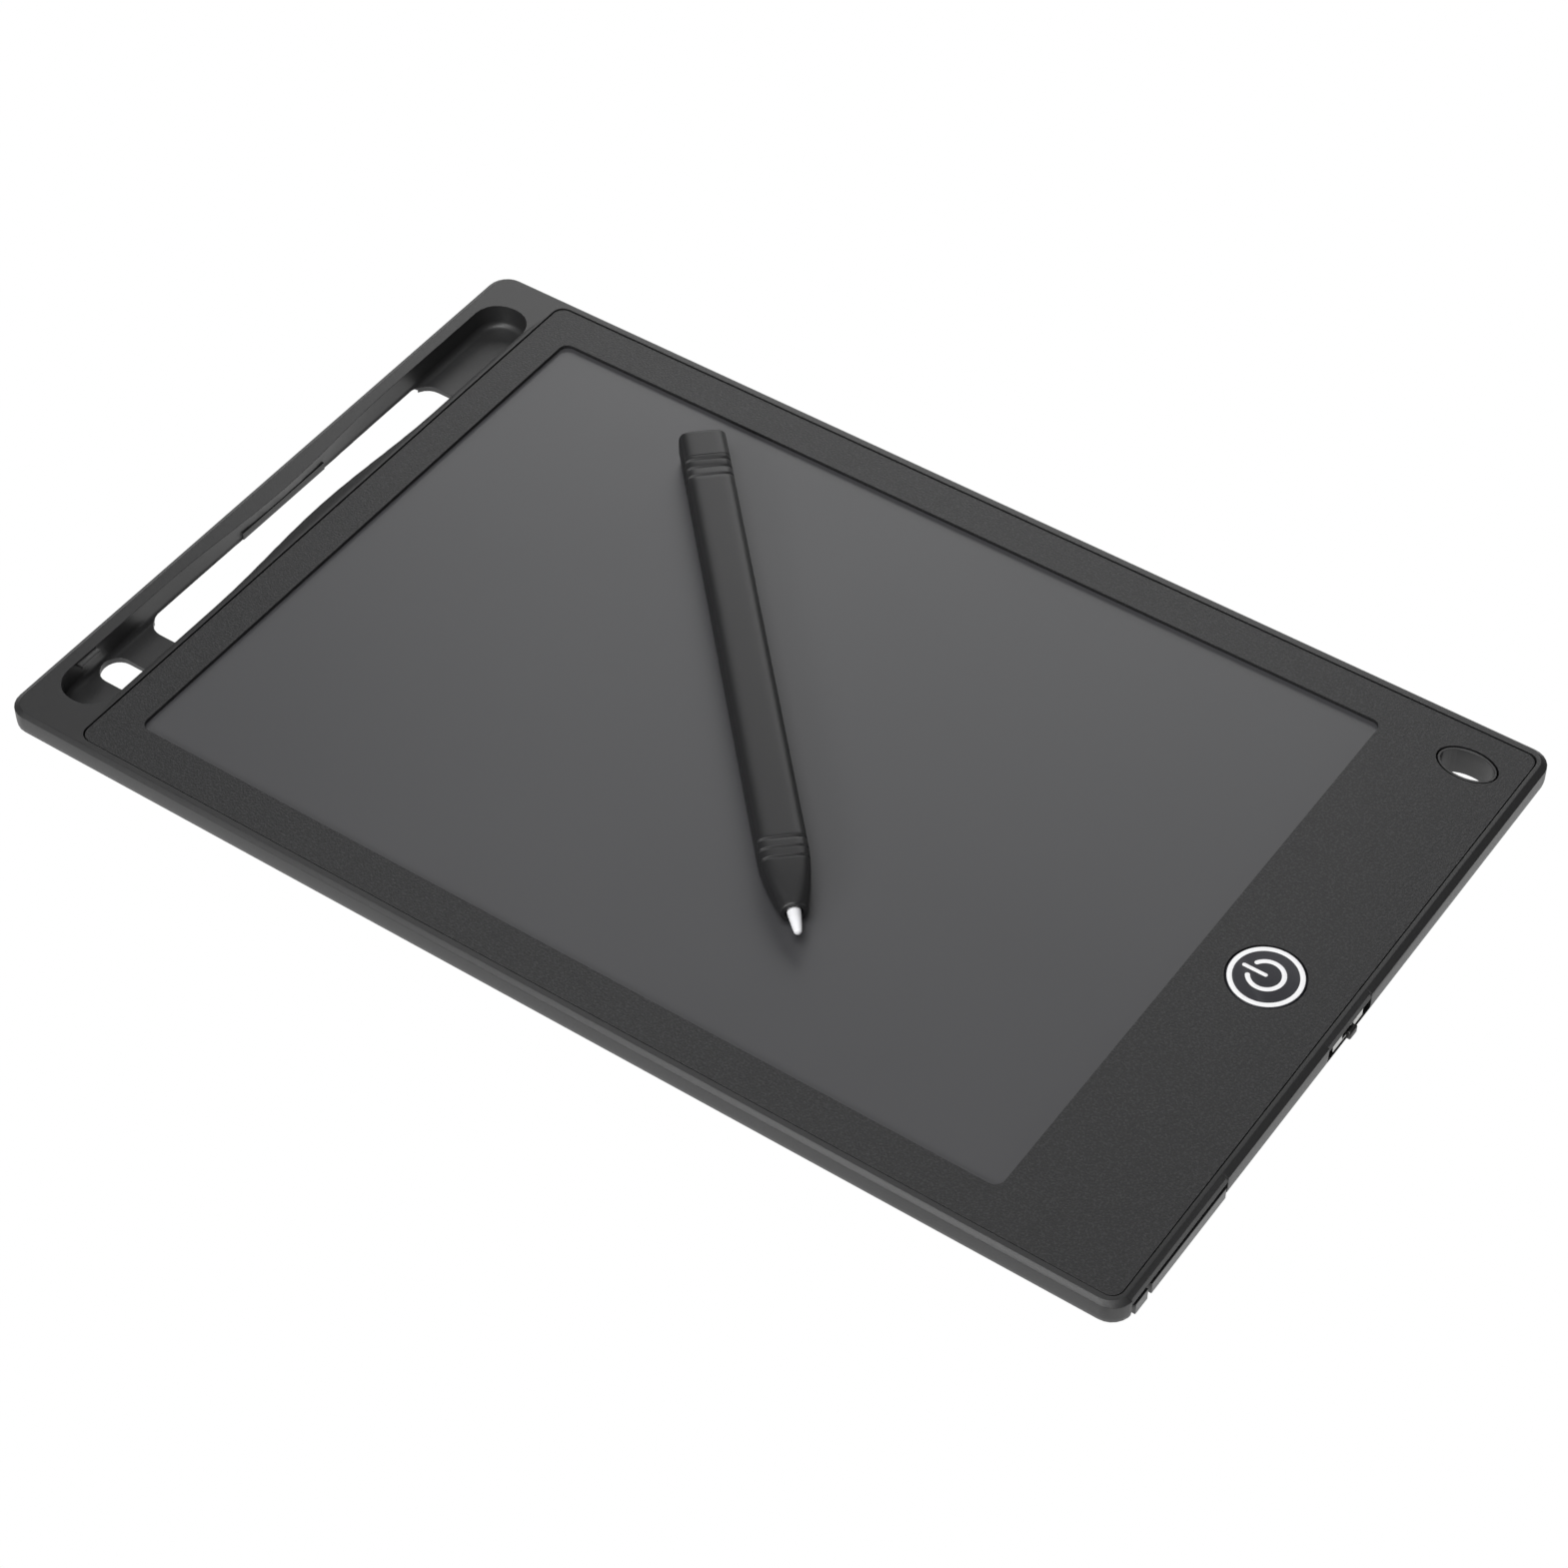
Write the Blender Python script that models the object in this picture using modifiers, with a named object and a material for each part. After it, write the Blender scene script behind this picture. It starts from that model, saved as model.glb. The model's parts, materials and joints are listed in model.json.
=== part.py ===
"""A slim LCD writing tablet with its loose stylus.

The tablet lies flat with its underside on Z = 0. X runs across it, Y along it
towards the pen groove, and the origin is at the middle of its underside.
Lengths are in metres and angles in degrees.
"""

import math

import bmesh
import bpy
from mathutils import Vector

# Tablet body
TABLET_WIDTH = 0.1424
TABLET_LENGTH = 0.2277
TABLET_THICKNESS = 0.0060
CORNER_RADIUS = 0.0040
SIDE_CHAMFER_INSET = 0.0008
END_CHAMFER_INSET = 0.00115
RIM_CHAMFER_DROP = 0.0007
UNDER_EDGE_INSET = 0.0026
UNDER_EDGE_RISE = 0.0026
UNDER_EDGE_SHARES = ((1.0, 0.0), (0.25, 0.32), (0.04, 0.62), (0.0, 1.0))
SIDE_RIM_WIDTH = 0.00185
BUTTON_END_RIM_WIDTH = 0.0019
GROOVE_END_WIDTH = 0.0154
FLOOR_THICKNESS = 0.0010

# Clearances and small tolerances
FIT_GAP = 0.0003
SHEET_GAP = 0.0001
BUTTON_GAP = 0.0002
PLUG_GAP = 0.00015
OVERRUN = 0.0010
SINK = 0.0003
WELD_DISTANCE = 0.000005

# Front panel
PANEL_DROP = 0.0002
PANEL_GAP = 0.0002
PANEL_THICKNESS = 0.0007
PANEL_CORNER_RADIUS = 0.0022
SIDE_BORDER = 0.00785
FAR_BORDER = 0.0070
WINDOW_CORNER_RADIUS = 0.0018

# Support frame and tape under the panel
FRAME_INSET = 0.0021
FRAME_WIDTH = 0.0012
TAPE_THICKNESS = 0.0002
TAPE_EDGE_INSET = 0.0002
TAPE_WIDTH = 0.0030

# Screen sheets and the ribs that carry them
FILM_LIP = 0.00215
FILM_DROP = 0.00015
FILM_THICKNESS = 0.0004
BACKING_THICKNESS = 0.0006
SHEET_CORNER_RADIUS = 0.0010
RIB_WIDTH = 0.0012
LONG_RIB_COUNT = 3
CROSS_RIB_COUNT = 5

# Pen groove
GROOVE_OUTER_WALL = 0.00345
GROOVE_WIDTH = 0.0109
GROOVE_SIDE_WALL = 0.00785
GROOVE_CORNER = 0.0050
GROOVE_FLOOR_THICKNESS = 0.0011
GROOVE_FILLET = 0.0012
LIP_SHARE = 0.80
OUTER_LIP_BULGE = 0.0014
INNER_LIP_BULGE = 0.0014
SLOT_FROM_GROOVE_END = 0.02325
SLOT_WIDTH = 0.0103
SLOT_CORNER = 0.0035
SLOT_SHIFT = 0.0011
LIP_RELIEF_HEIGHT = 0.0014
LIP_RELIEF_INSET = 0.0003
LIP_RELIEF_RAMP = 0.0026
GRIP_RIB_LENGTH = 0.0233
GRIP_RIB_SHIFT = -0.0004
GRIP_RIB_WIDTH = 0.00045
GRIP_RIB_HEIGHT = 0.0016
GRIP_RIB_LIFT = 0.0016
PEEP_HOLE_WIDTH = 0.0062
PEEP_HOLE_LENGTH = 0.0095
PEEP_HOLE_SHIFT = 0.00025
PEEP_HOLE_FROM_GROOVE_END = 0.01315
BEAD_LENGTH = 0.0050
BEAD_FROM_GROOVE_END = 0.00985
BEAD_WIDTH = 0.0011
BEAD_HEIGHT = 0.0007
BEAD_DROP = 0.0004

# Lanyard hole
LANYARD_WIDTH = 0.0075
LANYARD_LENGTH = 0.0115
LANYARD_FROM_SIDE = 0.01025
LANYARD_FROM_END = 0.01165
COLLAR_WALL = 0.00045
COLLAR_DROP = 0.0001

# Erase button
BUTTON_RADIUS = 0.0067
BUTTON_FROM_END = 0.01595
BUTTON_FLANGE = 0.0012
BUTTON_FLANGE_THICKNESS = 0.0005
BUTTON_STEM_RADIUS = 0.0016
BUTTON_TRAVEL = 0.0003

# Circuit board
BOARD_RAIL_GAP = 0.0007
BOARD_RIGHT = 0.0210
BOARD_THICKNESS = 0.0008
BOARD_TAB_WIDTH = 0.0128
BOARD_TAB_FROM_END = 0.00215
BOARD_LIFT = 0.00015
STAKE_RADIUS = 0.0008
STAKE_HEAD_RADIUS = 0.0014
STAKE_HEAD_HEIGHT = 0.0006
STAKE_MARGIN = 0.0030

# Tact switch under the erase button
TACT_WIDTH = 0.0045
TACT_HEIGHT = 0.0009
TACT_WELL_RADIUS = 0.00115
TACT_WELL_FLOOR = 0.0002
PLUNGER_RADIUS = 0.00095
PLUNGER_TOP = 0.0004

# Parts on the board, placed by shares of its reach either side of the button and of its half depth
CHIP_SIZE = (0.0070, 0.0070, 0.0012)
CHIP_PLACE_SHARES = (-0.647, 0.10)
INDUCTOR_SIZE = (0.0034, 0.0034, 0.0014)
INDUCTOR_PLACE_SHARES = (-0.451, -0.46)
CAPACITOR_SIZE = (0.0016, 0.0008, 0.0008)
CAPACITOR_PLACE_SHARES = (-0.843, -0.40)
CAPACITOR_SPACING = 0.0024
CAPACITOR_COUNT = 3
CHIP_EDGE = 0.0004
SOCKET_SIZE = (0.0096, 0.0030, 0.0010)
SOCKET_PLACE_SHARES = (0.544, 0.36)
TAIL_WIDTH = 0.0080
TAIL_THICKNESS = 0.0002

# Openings in the button end, under a lip that is pulled in a little
OPENING_LIP_HEIGHT = 0.0009
OPENING_LIP_INSET = 0.00035

# Slide switch in the button end
SLIDE_OPENING_LENGTH = 0.0140
SLIDE_SILL_HEIGHT = 0.00175
SLIDE_CASE_LENGTH = 0.0098
SLIDE_CASE_DEPTH = 0.0030
SLIDE_CASE_HEIGHT = 0.0018
SLIDE_CASE_RECESS = 0.0003
SLIDE_TRACK_LENGTH = 0.0038
SLIDE_TRACK_HEIGHT = 0.0011
SLIDE_TRACK_DEPTH = 0.0016
KNOB_WIDTH = 0.0024
KNOB_HEIGHT = 0.0017
KNOB_STAND_OUT = 0.0008
KNOB_STEM_WIDTH = 0.0014
KNOB_GAP = 0.00015
KNOB_ROUNDING = 0.0003
KNOB_STEM_SINK = 0.0006

# Battery drawer, its catch and its cell
DRAWER_WALL = 0.0011
DRAWER_BEZEL_THICKNESS = 0.00185
DRAWER_FLOOR = 0.0003
DRAWER_LIFT = 0.0001
DRAWER_FACE_BOTTOM = 0.0006
DRAWER_FACE_TOP = 0.0032
DRAWER_NOTCH_WIDTH = 0.0070
NOTCH_REACH_SHARE = 0.90
CELL_RADIUS = 0.0100
CELL_THICKNESS = 0.0016
CELL_CAP_RADIUS = 0.0088
CELL_CAP_STEP = 0.0002
CELL_GAP = 0.00015
CELL_STAND_OUT = 0.0001
CATCH_FROM_SIDE = 0.0047
CATCH_TAB_WIDTH = 0.0037
CATCH_TAB_DEPTH = 0.00235
CATCH_GAP = 0.0011
CATCH_SIDE_GAP = 0.0011
CATCH_ARM_THICKNESS = 0.0010
CATCH_BUMP = 0.0006
CATCH_BUMP_LENGTH = 0.0010
EAR_THICKNESS = 0.0016
RAIL_WIDTH = 0.0012
RAIL_HEIGHT = 0.0020

# Battery contacts
CONTACT_THICKNESS = 0.0002
CONTACT_WIDTH = 0.0030
CONTACT_PAD = 0.0030
CONTACT_RISE = 0.0006
CONTACT_TOUCH_LENGTH = 0.0030

# Stylus, lying on the screen
STYLUS_LENGTH = 0.1216
STYLUS_WIDTH = 0.0088
STYLUS_HEIGHT = 0.0065
STYLUS_SQUARENESS = 2.8
STYLUS_REACH_SHARE = 0.7246
STYLUS_TIP_SHARES = (-0.5278, -0.2714)
NIB_LENGTH = 0.0046
NIB_TIP_RADIUS = 0.0006
NIB_BLUNT_SHARE = 0.60
NIB_BASE_RADIUS = 0.0014
NIB_SHANK_RADIUS = 0.0011
NIB_SHANK_LENGTH = 0.0050
NOSE_END_RADIUS = 0.0024
NOSE_LENGTH = 0.0135
NOSE_STEPS = 5
RIDGE_PITCH = 0.0021
RIDGE_DEPTH = 0.00025
RIDGE_GROOVE = 0.0006
RIDGE_COUNT = 3
FRONT_RIDGE_FROM_TIP = 0.0146
REAR_RIDGE_FROM_END = 0.01255
CAP_LENGTH = 0.0072
CAP_TAPER_LENGTH = 0.0010
CAP_PLUG_RADIUS = 0.0020
CAP_PLUG_LENGTH = 0.0040
CAP_END_WIDTH_SHARE = 0.80
CAP_END_HEIGHT_SHARE = 0.75

# How finely round shapes are divided
CORNER_STEPS = 6
ROUND_STEPS = 28
SMALL_ROUND_STEPS = 16
LIP_STEPS = 14
FILLET_STEPS = 4
EDGE_STEPS = 2
SMOOTH_ANGLE = 35

# Heights worked out from the sizes above
DRAWER_BOTTOM = FLOOR_THICKNESS + DRAWER_LIFT
CELL_BOTTOM = DRAWER_BOTTOM + DRAWER_FLOOR + SHEET_GAP
CELL_TOP = CELL_BOTTOM + CELL_THICKNESS
TRAY_TOP = CELL_TOP - CELL_STAND_OUT
PANEL_TOP = TABLET_THICKNESS - PANEL_DROP
PANEL_BOTTOM = PANEL_TOP - PANEL_THICKNESS
RIM_FOOT = TABLET_THICKNESS - RIM_CHAMFER_DROP
OPENING_TOP = RIM_FOOT - OPENING_LIP_HEIGHT
TAPE_TOP = PANEL_BOTTOM - SHEET_GAP
TAPE_BOTTOM = TAPE_TOP - TAPE_THICKNESS
LEDGE_TOP = TAPE_BOTTOM - SHEET_GAP
FILM_TOP = PANEL_BOTTOM - FILM_DROP
FILM_BOTTOM = FILM_TOP - FILM_THICKNESS
BACKING_TOP = FILM_BOTTOM - SHEET_GAP
BACKING_BOTTOM = BACKING_TOP - BACKING_THICKNESS
RIB_TOP = BACKING_BOTTOM - SHEET_GAP
BOARD_BOTTOM = FLOOR_THICKNESS + BOARD_LIFT
BOARD_TOP = BOARD_BOTTOM + BOARD_THICKNESS

# Places worked out from the sizes above
HALF_WIDTH = TABLET_WIDTH / 2
HALF_LENGTH = TABLET_LENGTH / 2
RECESS_HALF_WIDTH = HALF_WIDTH - SIDE_RIM_WIDTH
RECESS_FRONT = -HALF_LENGTH + BUTTON_END_RIM_WIDTH
RECESS_BACK = HALF_LENGTH - GROOVE_END_WIDTH
PANEL_HALF_WIDTH = RECESS_HALF_WIDTH - PANEL_GAP
PANEL_FRONT = RECESS_FRONT + PANEL_GAP
PANEL_BACK = RECESS_BACK - PANEL_GAP
FRAME_FRONT = RECESS_FRONT + FRAME_INSET
FRAME_BACK = RECESS_BACK - FRAME_INSET
FRAME_HALF_WIDTH = RECESS_HALF_WIDTH - FRAME_INSET
BAY_FRONT = FRAME_FRONT + FRAME_WIDTH

# The battery bay sets how far in the board, the sheets and the window begin
CELL_ROOM_RADIUS = CELL_RADIUS + CELL_GAP
DRAWER_WIDTH = 2 * (CELL_ROOM_RADIUS + DRAWER_WALL)
CATCH_LEFT = -HALF_WIDTH + CATCH_FROM_SIDE
CATCH_RIGHT = CATCH_LEFT + CATCH_TAB_WIDTH
DRAWER_LEFT = CATCH_RIGHT + CATCH_GAP
DRAWER_RIGHT = DRAWER_LEFT + DRAWER_WIDTH
DRAWER_X = (DRAWER_LEFT + DRAWER_RIGHT) / 2
BEZEL_BACK = -HALF_LENGTH + DRAWER_BEZEL_THICKNESS
CELL_Y = BEZEL_BACK + DRAWER_WALL + CELL_ROOM_RADIUS
DRAWER_BACK = CELL_Y + CELL_ROOM_RADIUS + EAR_THICKNESS
BAY_LEFT = CATCH_LEFT - CATCH_SIDE_GAP
BAY_RIGHT = DRAWER_RIGHT + FIT_GAP
BOARD_LEFT = BAY_RIGHT + RAIL_WIDTH + BOARD_RAIL_GAP
BOARD_FRONT = BAY_FRONT + FIT_GAP
BOARD_BACK = DRAWER_BACK + FIT_GAP
BOARD_MIDDLE = (BOARD_FRONT + BOARD_BACK) / 2
SHEET_FRONT = BOARD_BACK + SHEET_GAP + CONTACT_THICKNESS + FIT_GAP + RIB_WIDTH / 2
WINDOW_FRONT = SHEET_FRONT + FILM_LIP
WINDOW_BACK = PANEL_BACK - FAR_BORDER
WINDOW_WIDTH = 2 * (PANEL_HALF_WIDTH - SIDE_BORDER)
WINDOW_LENGTH = WINDOW_BACK - WINDOW_FRONT
WINDOW_MIDDLE = (WINDOW_FRONT + WINDOW_BACK) / 2

# The groove, the button and the lanyard hole
GROOVE_MIDDLE = HALF_LENGTH - GROOVE_OUTER_WALL - GROOVE_WIDTH / 2
GROOVE_LENGTH = TABLET_WIDTH - 2 * GROOVE_SIDE_WALL
SLOT_LENGTH = GROOVE_LENGTH - 2 * SLOT_FROM_GROOVE_END
LIP_HALF_LENGTH = LIP_SHARE * SLOT_LENGTH / 2
PEEP_HOLE_X = PEEP_HOLE_FROM_GROOVE_END - GROOVE_LENGTH / 2
BEAD_X = BEAD_FROM_GROOVE_END - GROOVE_LENGTH / 2
BUTTON_Y = -HALF_LENGTH + BUTTON_FROM_END
LANYARD_X = HALF_WIDTH - LANYARD_FROM_SIDE
LANYARD_Y = -HALF_LENGTH + LANYARD_FROM_END


def clear_scene():
    """Remove whatever the file holds."""
    for item in list(bpy.data.objects):
        bpy.data.objects.remove(item, do_unlink=True)


def new_collection(name):
    """Add a collection to the scene."""
    collection = bpy.data.collections.new(name)
    bpy.context.scene.collection.children.link(collection)
    return collection


def material(name, colour, roughness, metallic=0.0):
    """A Principled material in linear colour."""
    made = bpy.data.materials.new(name)
    made.use_nodes = True
    shader = made.node_tree.nodes["Principled BSDF"]
    shader.inputs["Base Color"].default_value = (*colour, 1.0)
    shader.inputs["Roughness"].default_value = roughness
    shader.inputs["Metallic"].default_value = metallic
    return made


def add_mesh(name, mesh, place=(0, 0, 0)):
    """Link a mesh as an object at its place."""
    item = bpy.data.objects.new(name, mesh)
    item.location = place
    bpy.context.scene.collection.objects.link(item)
    return item


def rounded_rectangle(width, length, radius, middle=(0, 0)):
    """Outline of a rectangle with round corners, anticlockwise."""
    points = []
    for corner, (side_x, side_y) in enumerate(((1, 1), (-1, 1), (-1, -1), (1, -1))):
        centre_x = middle[0] + side_x * (width / 2 - radius)
        centre_y = middle[1] + side_y * (length / 2 - radius)
        for step in range(CORNER_STEPS + 1):
            angle = math.pi / 2 * (corner + step / CORNER_STEPS)
            points.append((centre_x + radius * math.cos(angle), centre_y + radius * math.sin(angle)))
    return points


def rectangle(left, right, front, back):
    """Outline of a plain rectangle, anticlockwise."""
    return [(left, front), (right, front), (right, back), (left, back)]


def ellipse(width, length, middle=(0, 0), steps=ROUND_STEPS):
    """Outline of an ellipse, anticlockwise."""
    points = []
    for step in range(steps):
        angle = 2 * math.pi * step / steps
        points.append((middle[0] + width / 2 * math.cos(angle), middle[1] + length / 2 * math.sin(angle)))
    return points


def plate(name, outlines, bottom, top):
    """A flat piece from a filled 2D curve; outlines after the first are holes in it."""
    curve = bpy.data.curves.new(name, "CURVE")
    curve.dimensions = "2D"
    curve.fill_mode = "BOTH"
    curve.extrude = (top - bottom) / 2
    for outline in outlines:
        spline = curve.splines.new("POLY")
        spline.points.add(len(outline) - 1)
        for point, (x, y) in zip(spline.points, outline):
            point.co = (x, y, 0, 1)
        spline.use_cyclic_u = True
    drawn = bpy.data.objects.new(name + "_curve", curve)
    drawn.location = (0, 0, (bottom + top) / 2)
    bpy.context.scene.collection.objects.link(drawn)
    bpy.context.view_layer.update()
    evaluated = drawn.evaluated_get(bpy.context.evaluated_depsgraph_get())
    mesh = bpy.data.meshes.new_from_object(evaluated)
    mesh.name = name
    weld(mesh)
    solid = add_mesh(name, mesh)
    solid.matrix_world = drawn.matrix_world.copy()
    bpy.data.objects.remove(drawn, do_unlink=True)
    return solid


def weld(mesh):
    """Join a mesh's loose caps to its sides."""
    body = bmesh.new()
    body.from_mesh(mesh)
    bmesh.ops.remove_doubles(body, verts=body.verts, dist=WELD_DISTANCE)
    bmesh.ops.recalc_face_normals(body, faces=body.faces)
    body.to_mesh(mesh)
    body.free()


def loft(name, sections):
    """A closed solid of flat triangles through sections of equally many points, capped at both ends."""
    body = bmesh.new()
    rings = [[body.verts.new(point) for point in section] for section in sections]
    count = len(rings[0])
    for lower, upper in zip(rings, rings[1:]):
        for index in range(count):
            after = (index + 1) % count
            body.faces.new((lower[index], lower[after], upper[after], upper[index]))
    body.faces.new(list(reversed(rings[0])))
    body.faces.new(rings[-1])
    bmesh.ops.triangulate(body, faces=body.faces)
    bmesh.ops.recalc_face_normals(body, faces=body.faces)
    mesh = bpy.data.meshes.new(name)
    body.to_mesh(mesh)
    body.free()
    return add_mesh(name, mesh)


def block(name, size, place, edge=0):
    """A box centred at its place, its edges broken by a Bevel."""
    body = bmesh.new()
    bmesh.ops.create_cube(body, size=1)
    bmesh.ops.scale(body, vec=size, verts=body.verts)
    mesh = bpy.data.meshes.new(name)
    body.to_mesh(mesh)
    body.free()
    solid = add_mesh(name, mesh, place)
    if edge:
        bevel = solid.modifiers.new("edges", "BEVEL")
        bevel.width = edge
        bevel.segments = EDGE_STEPS
    return solid


def turned(name, profile, place, steps=ROUND_STEPS):
    """A turned solid: a profile of radius and height, top to bottom, about a vertical axis."""
    mesh = bpy.data.meshes.new(name)
    points = [(radius, 0, height) for radius, height in profile]
    mesh.from_pydata(points, [(index, index + 1) for index in range(len(points) - 1)], [])
    solid = add_mesh(name, mesh, place)
    screw = solid.modifiers.new("turn", "SCREW")
    screw.steps = steps
    screw.render_steps = steps
    screw.use_merge_vertices = True
    screw.merge_threshold = WELD_DISTANCE
    return solid


def boolean(target, tool, operation):
    """Cut or join one solid with another."""
    change = target.modifiers.new(tool.name, "BOOLEAN")
    change.operation = operation
    change.object = tool
    change.solver = "EXACT"
    move_to(tool, cutters)
    tool.hide_render = True
    tool.display_type = "WIRE"


def cut(target, *tools):
    """Take tools out of a solid."""
    for tool in tools:
        boolean(target, tool, "DIFFERENCE")


def join(target, *tools):
    """Fuse tools to a solid."""
    for tool in tools:
        boolean(target, tool, "UNION")


def move_to(item, collection):
    """Put an object in one collection only."""
    for holder in list(item.users_collection):
        holder.objects.unlink(item)
    collection.objects.link(item)


def finish(solid, look, parent=None):
    """File a finished piece under its material, with round faces shaded smooth."""
    solid.data.materials.clear()
    solid.data.materials.append(look)
    solid.data.shade_smooth()
    solid.data.set_sharp_from_angle(angle=math.radians(SMOOTH_ANGLE))
    move_to(solid, parts)
    if parent:
        solid.parent = parent
    return solid


def body_sections():
    """The housing's outer skin: underside bevel, upright wall and rim chamfer."""
    steps = []
    for inset, rise in UNDER_EDGE_SHARES:
        steps.append((UNDER_EDGE_INSET * inset, UNDER_EDGE_INSET * inset, UNDER_EDGE_RISE * rise))
    steps.append((0, 0, RIM_FOOT))
    steps.append((SIDE_CHAMFER_INSET, END_CHAMFER_INSET, TABLET_THICKNESS))
    sections = []
    for side_inset, end_inset, height in steps:
        width = TABLET_WIDTH - 2 * side_inset
        outline = rounded_rectangle(width, TABLET_LENGTH - 2 * end_inset, CORNER_RADIUS - side_inset)
        sections.append([(x, y, height) for x, y in outline])
    return sections


def swell(x):
    """How far a lip bulges at x, as a share of its bulge at mid-length."""
    return math.cos(math.pi * x / (2 * LIP_HALF_LENGTH)) ** 2


def groove_outline(length, width, corner, lift):
    """The groove in plan; at full lift its two long lips bulge towards each other."""
    half = length / 2
    back = GROOVE_MIDDLE + width / 2
    front = GROOVE_MIDDLE - width / 2
    points = []
    for step in range(LIP_STEPS + 1):
        x = LIP_HALF_LENGTH * (1 - 2 * step / LIP_STEPS)
        points.append((x, back - OUTER_LIP_BULGE * lift * swell(x)))
    points += corner_arc(-half + corner, back - corner, corner, 1)
    points += corner_arc(-half + corner, front + corner, corner, 2)
    for step in range(LIP_STEPS + 1):
        x = LIP_HALF_LENGTH * (2 * step / LIP_STEPS - 1)
        points.append((x, front + INNER_LIP_BULGE * lift * swell(x)))
    points += corner_arc(half - corner, front + corner, corner, 3)
    points += corner_arc(half - corner, back - corner, corner, 4)
    return points


def corner_arc(x, y, radius, quarter):
    """A quarter circle about a point, anticlockwise from the start of its quarter."""
    points = []
    for step in range(CORNER_STEPS + 1):
        angle = math.pi / 2 * (quarter + step / CORNER_STEPS)
        points.append((x + radius * math.cos(angle), y + radius * math.sin(angle)))
    return points


def lift_at(height):
    """The lips' bulge grows evenly from the groove's floor to its rim."""
    return max(height - GROOVE_FLOOR_THICKNESS, 0) / (TABLET_THICKNESS - GROOVE_FLOOR_THICKNESS)


def groove_cutter():
    """The groove's hollow: upright walls that run into a flat floor with a fillet."""
    levels = []
    for step in range(FILLET_STEPS + 1):
        angle = math.pi / 2 * step / FILLET_STEPS
        inset = GROOVE_FILLET * (1 - math.sin(angle))
        levels.append((GROOVE_FLOOR_THICKNESS + GROOVE_FILLET * (1 - math.cos(angle)), inset))
    levels.append((TABLET_THICKNESS + OVERRUN, 0))
    sections = []
    for height, inset in levels:
        outline = groove_outline(GROOVE_LENGTH - 2 * inset, GROOVE_WIDTH - 2 * inset,
                                 GROOVE_CORNER - inset, lift_at(height))
        sections.append([(x, y, height) for x, y in outline])
    return loft("groove_cutter", sections)


def slot_cutter():
    """The long slot through the groove's floor, its walls in line with the lips."""
    sections = []
    for height in (-OVERRUN, GROOVE_FLOOR_THICKNESS - SHEET_GAP, GROOVE_FLOOR_THICKNESS + GROOVE_FILLET):
        outline = groove_outline(SLOT_LENGTH, SLOT_WIDTH, SLOT_CORNER, lift_at(height))
        sections.append([(x + SLOT_SHIFT, y, height) for x, y in outline])
    return loft("slot_cutter", sections)


def relief_cutter(slot_edge):
    """The space under the outer lip, which stands clear of the table beside the slot; its ends slope."""
    sections = []
    for height, inset in ((-OVERRUN, LIP_RELIEF_INSET), (LIP_RELIEF_HEIGHT, LIP_RELIEF_INSET + LIP_RELIEF_RAMP)):
        half = SLOT_LENGTH / 2 - inset
        outline = rectangle(SLOT_SHIFT - half, SLOT_SHIFT + half, slot_edge - SINK, HALF_LENGTH + OVERRUN)
        sections.append([(x, y, height) for x, y in outline])
    return loft("lip_relief_cutter", sections)


def stadium(length, width, middle):
    """Outline of a slot with full round ends."""
    return rounded_rectangle(length, width, min(length, width) / 2 - SHEET_GAP, middle)


def cut_groove(housing):
    """Cut the pen groove, its long slot and its peep hole, and add the pen grips."""
    cut(housing, groove_cutter())
    under_lip = GROOVE_FLOOR_THICKNESS + GROOVE_FILLET
    cut(housing, slot_cutter())
    hole = stadium(PEEP_HOLE_WIDTH, PEEP_HOLE_LENGTH, (PEEP_HOLE_X, GROOVE_MIDDLE + PEEP_HOLE_SHIFT))
    cut(housing, plate("peep_hole_cutter", [hole], -OVERRUN, under_lip))
    slot_edge = GROOVE_MIDDLE + SLOT_WIDTH / 2
    grip_left = GRIP_RIB_SHIFT - GRIP_RIB_LENGTH / 2
    grip = rectangle(grip_left, grip_left + GRIP_RIB_LENGTH, slot_edge - GRIP_RIB_WIDTH, slot_edge + OVERRUN)
    join(housing, plate("grip_rib", [grip], GRIP_RIB_LIFT, GRIP_RIB_LIFT + GRIP_RIB_HEIGHT))
    cut(housing, relief_cutter(slot_edge))
    wall = GROOVE_MIDDLE + GROOVE_WIDTH / 2
    bead_left = BEAD_X - BEAD_LENGTH / 2
    bead = rectangle(bead_left, bead_left + BEAD_LENGTH, wall - BEAD_WIDTH, wall + OVERRUN)
    bead_top = TABLET_THICKNESS - BEAD_DROP
    join(housing, plate("bead", [bead], bead_top - BEAD_HEIGHT, bead_top))


def frame_ring(name, outer_half_width, front, back, width, bottom, top):
    """A thin rectangular ring, such as the support frame or the tape."""
    middle = (0, (front + back) / 2)
    outer = rounded_rectangle(2 * outer_half_width, back - front, SHEET_CORNER_RADIUS, middle)
    inner = rounded_rectangle(2 * (outer_half_width - width), back - front - 2 * width,
                              SHEET_CORNER_RADIUS / 2, middle)
    return plate(name, [outer, inner], bottom, top)


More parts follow.
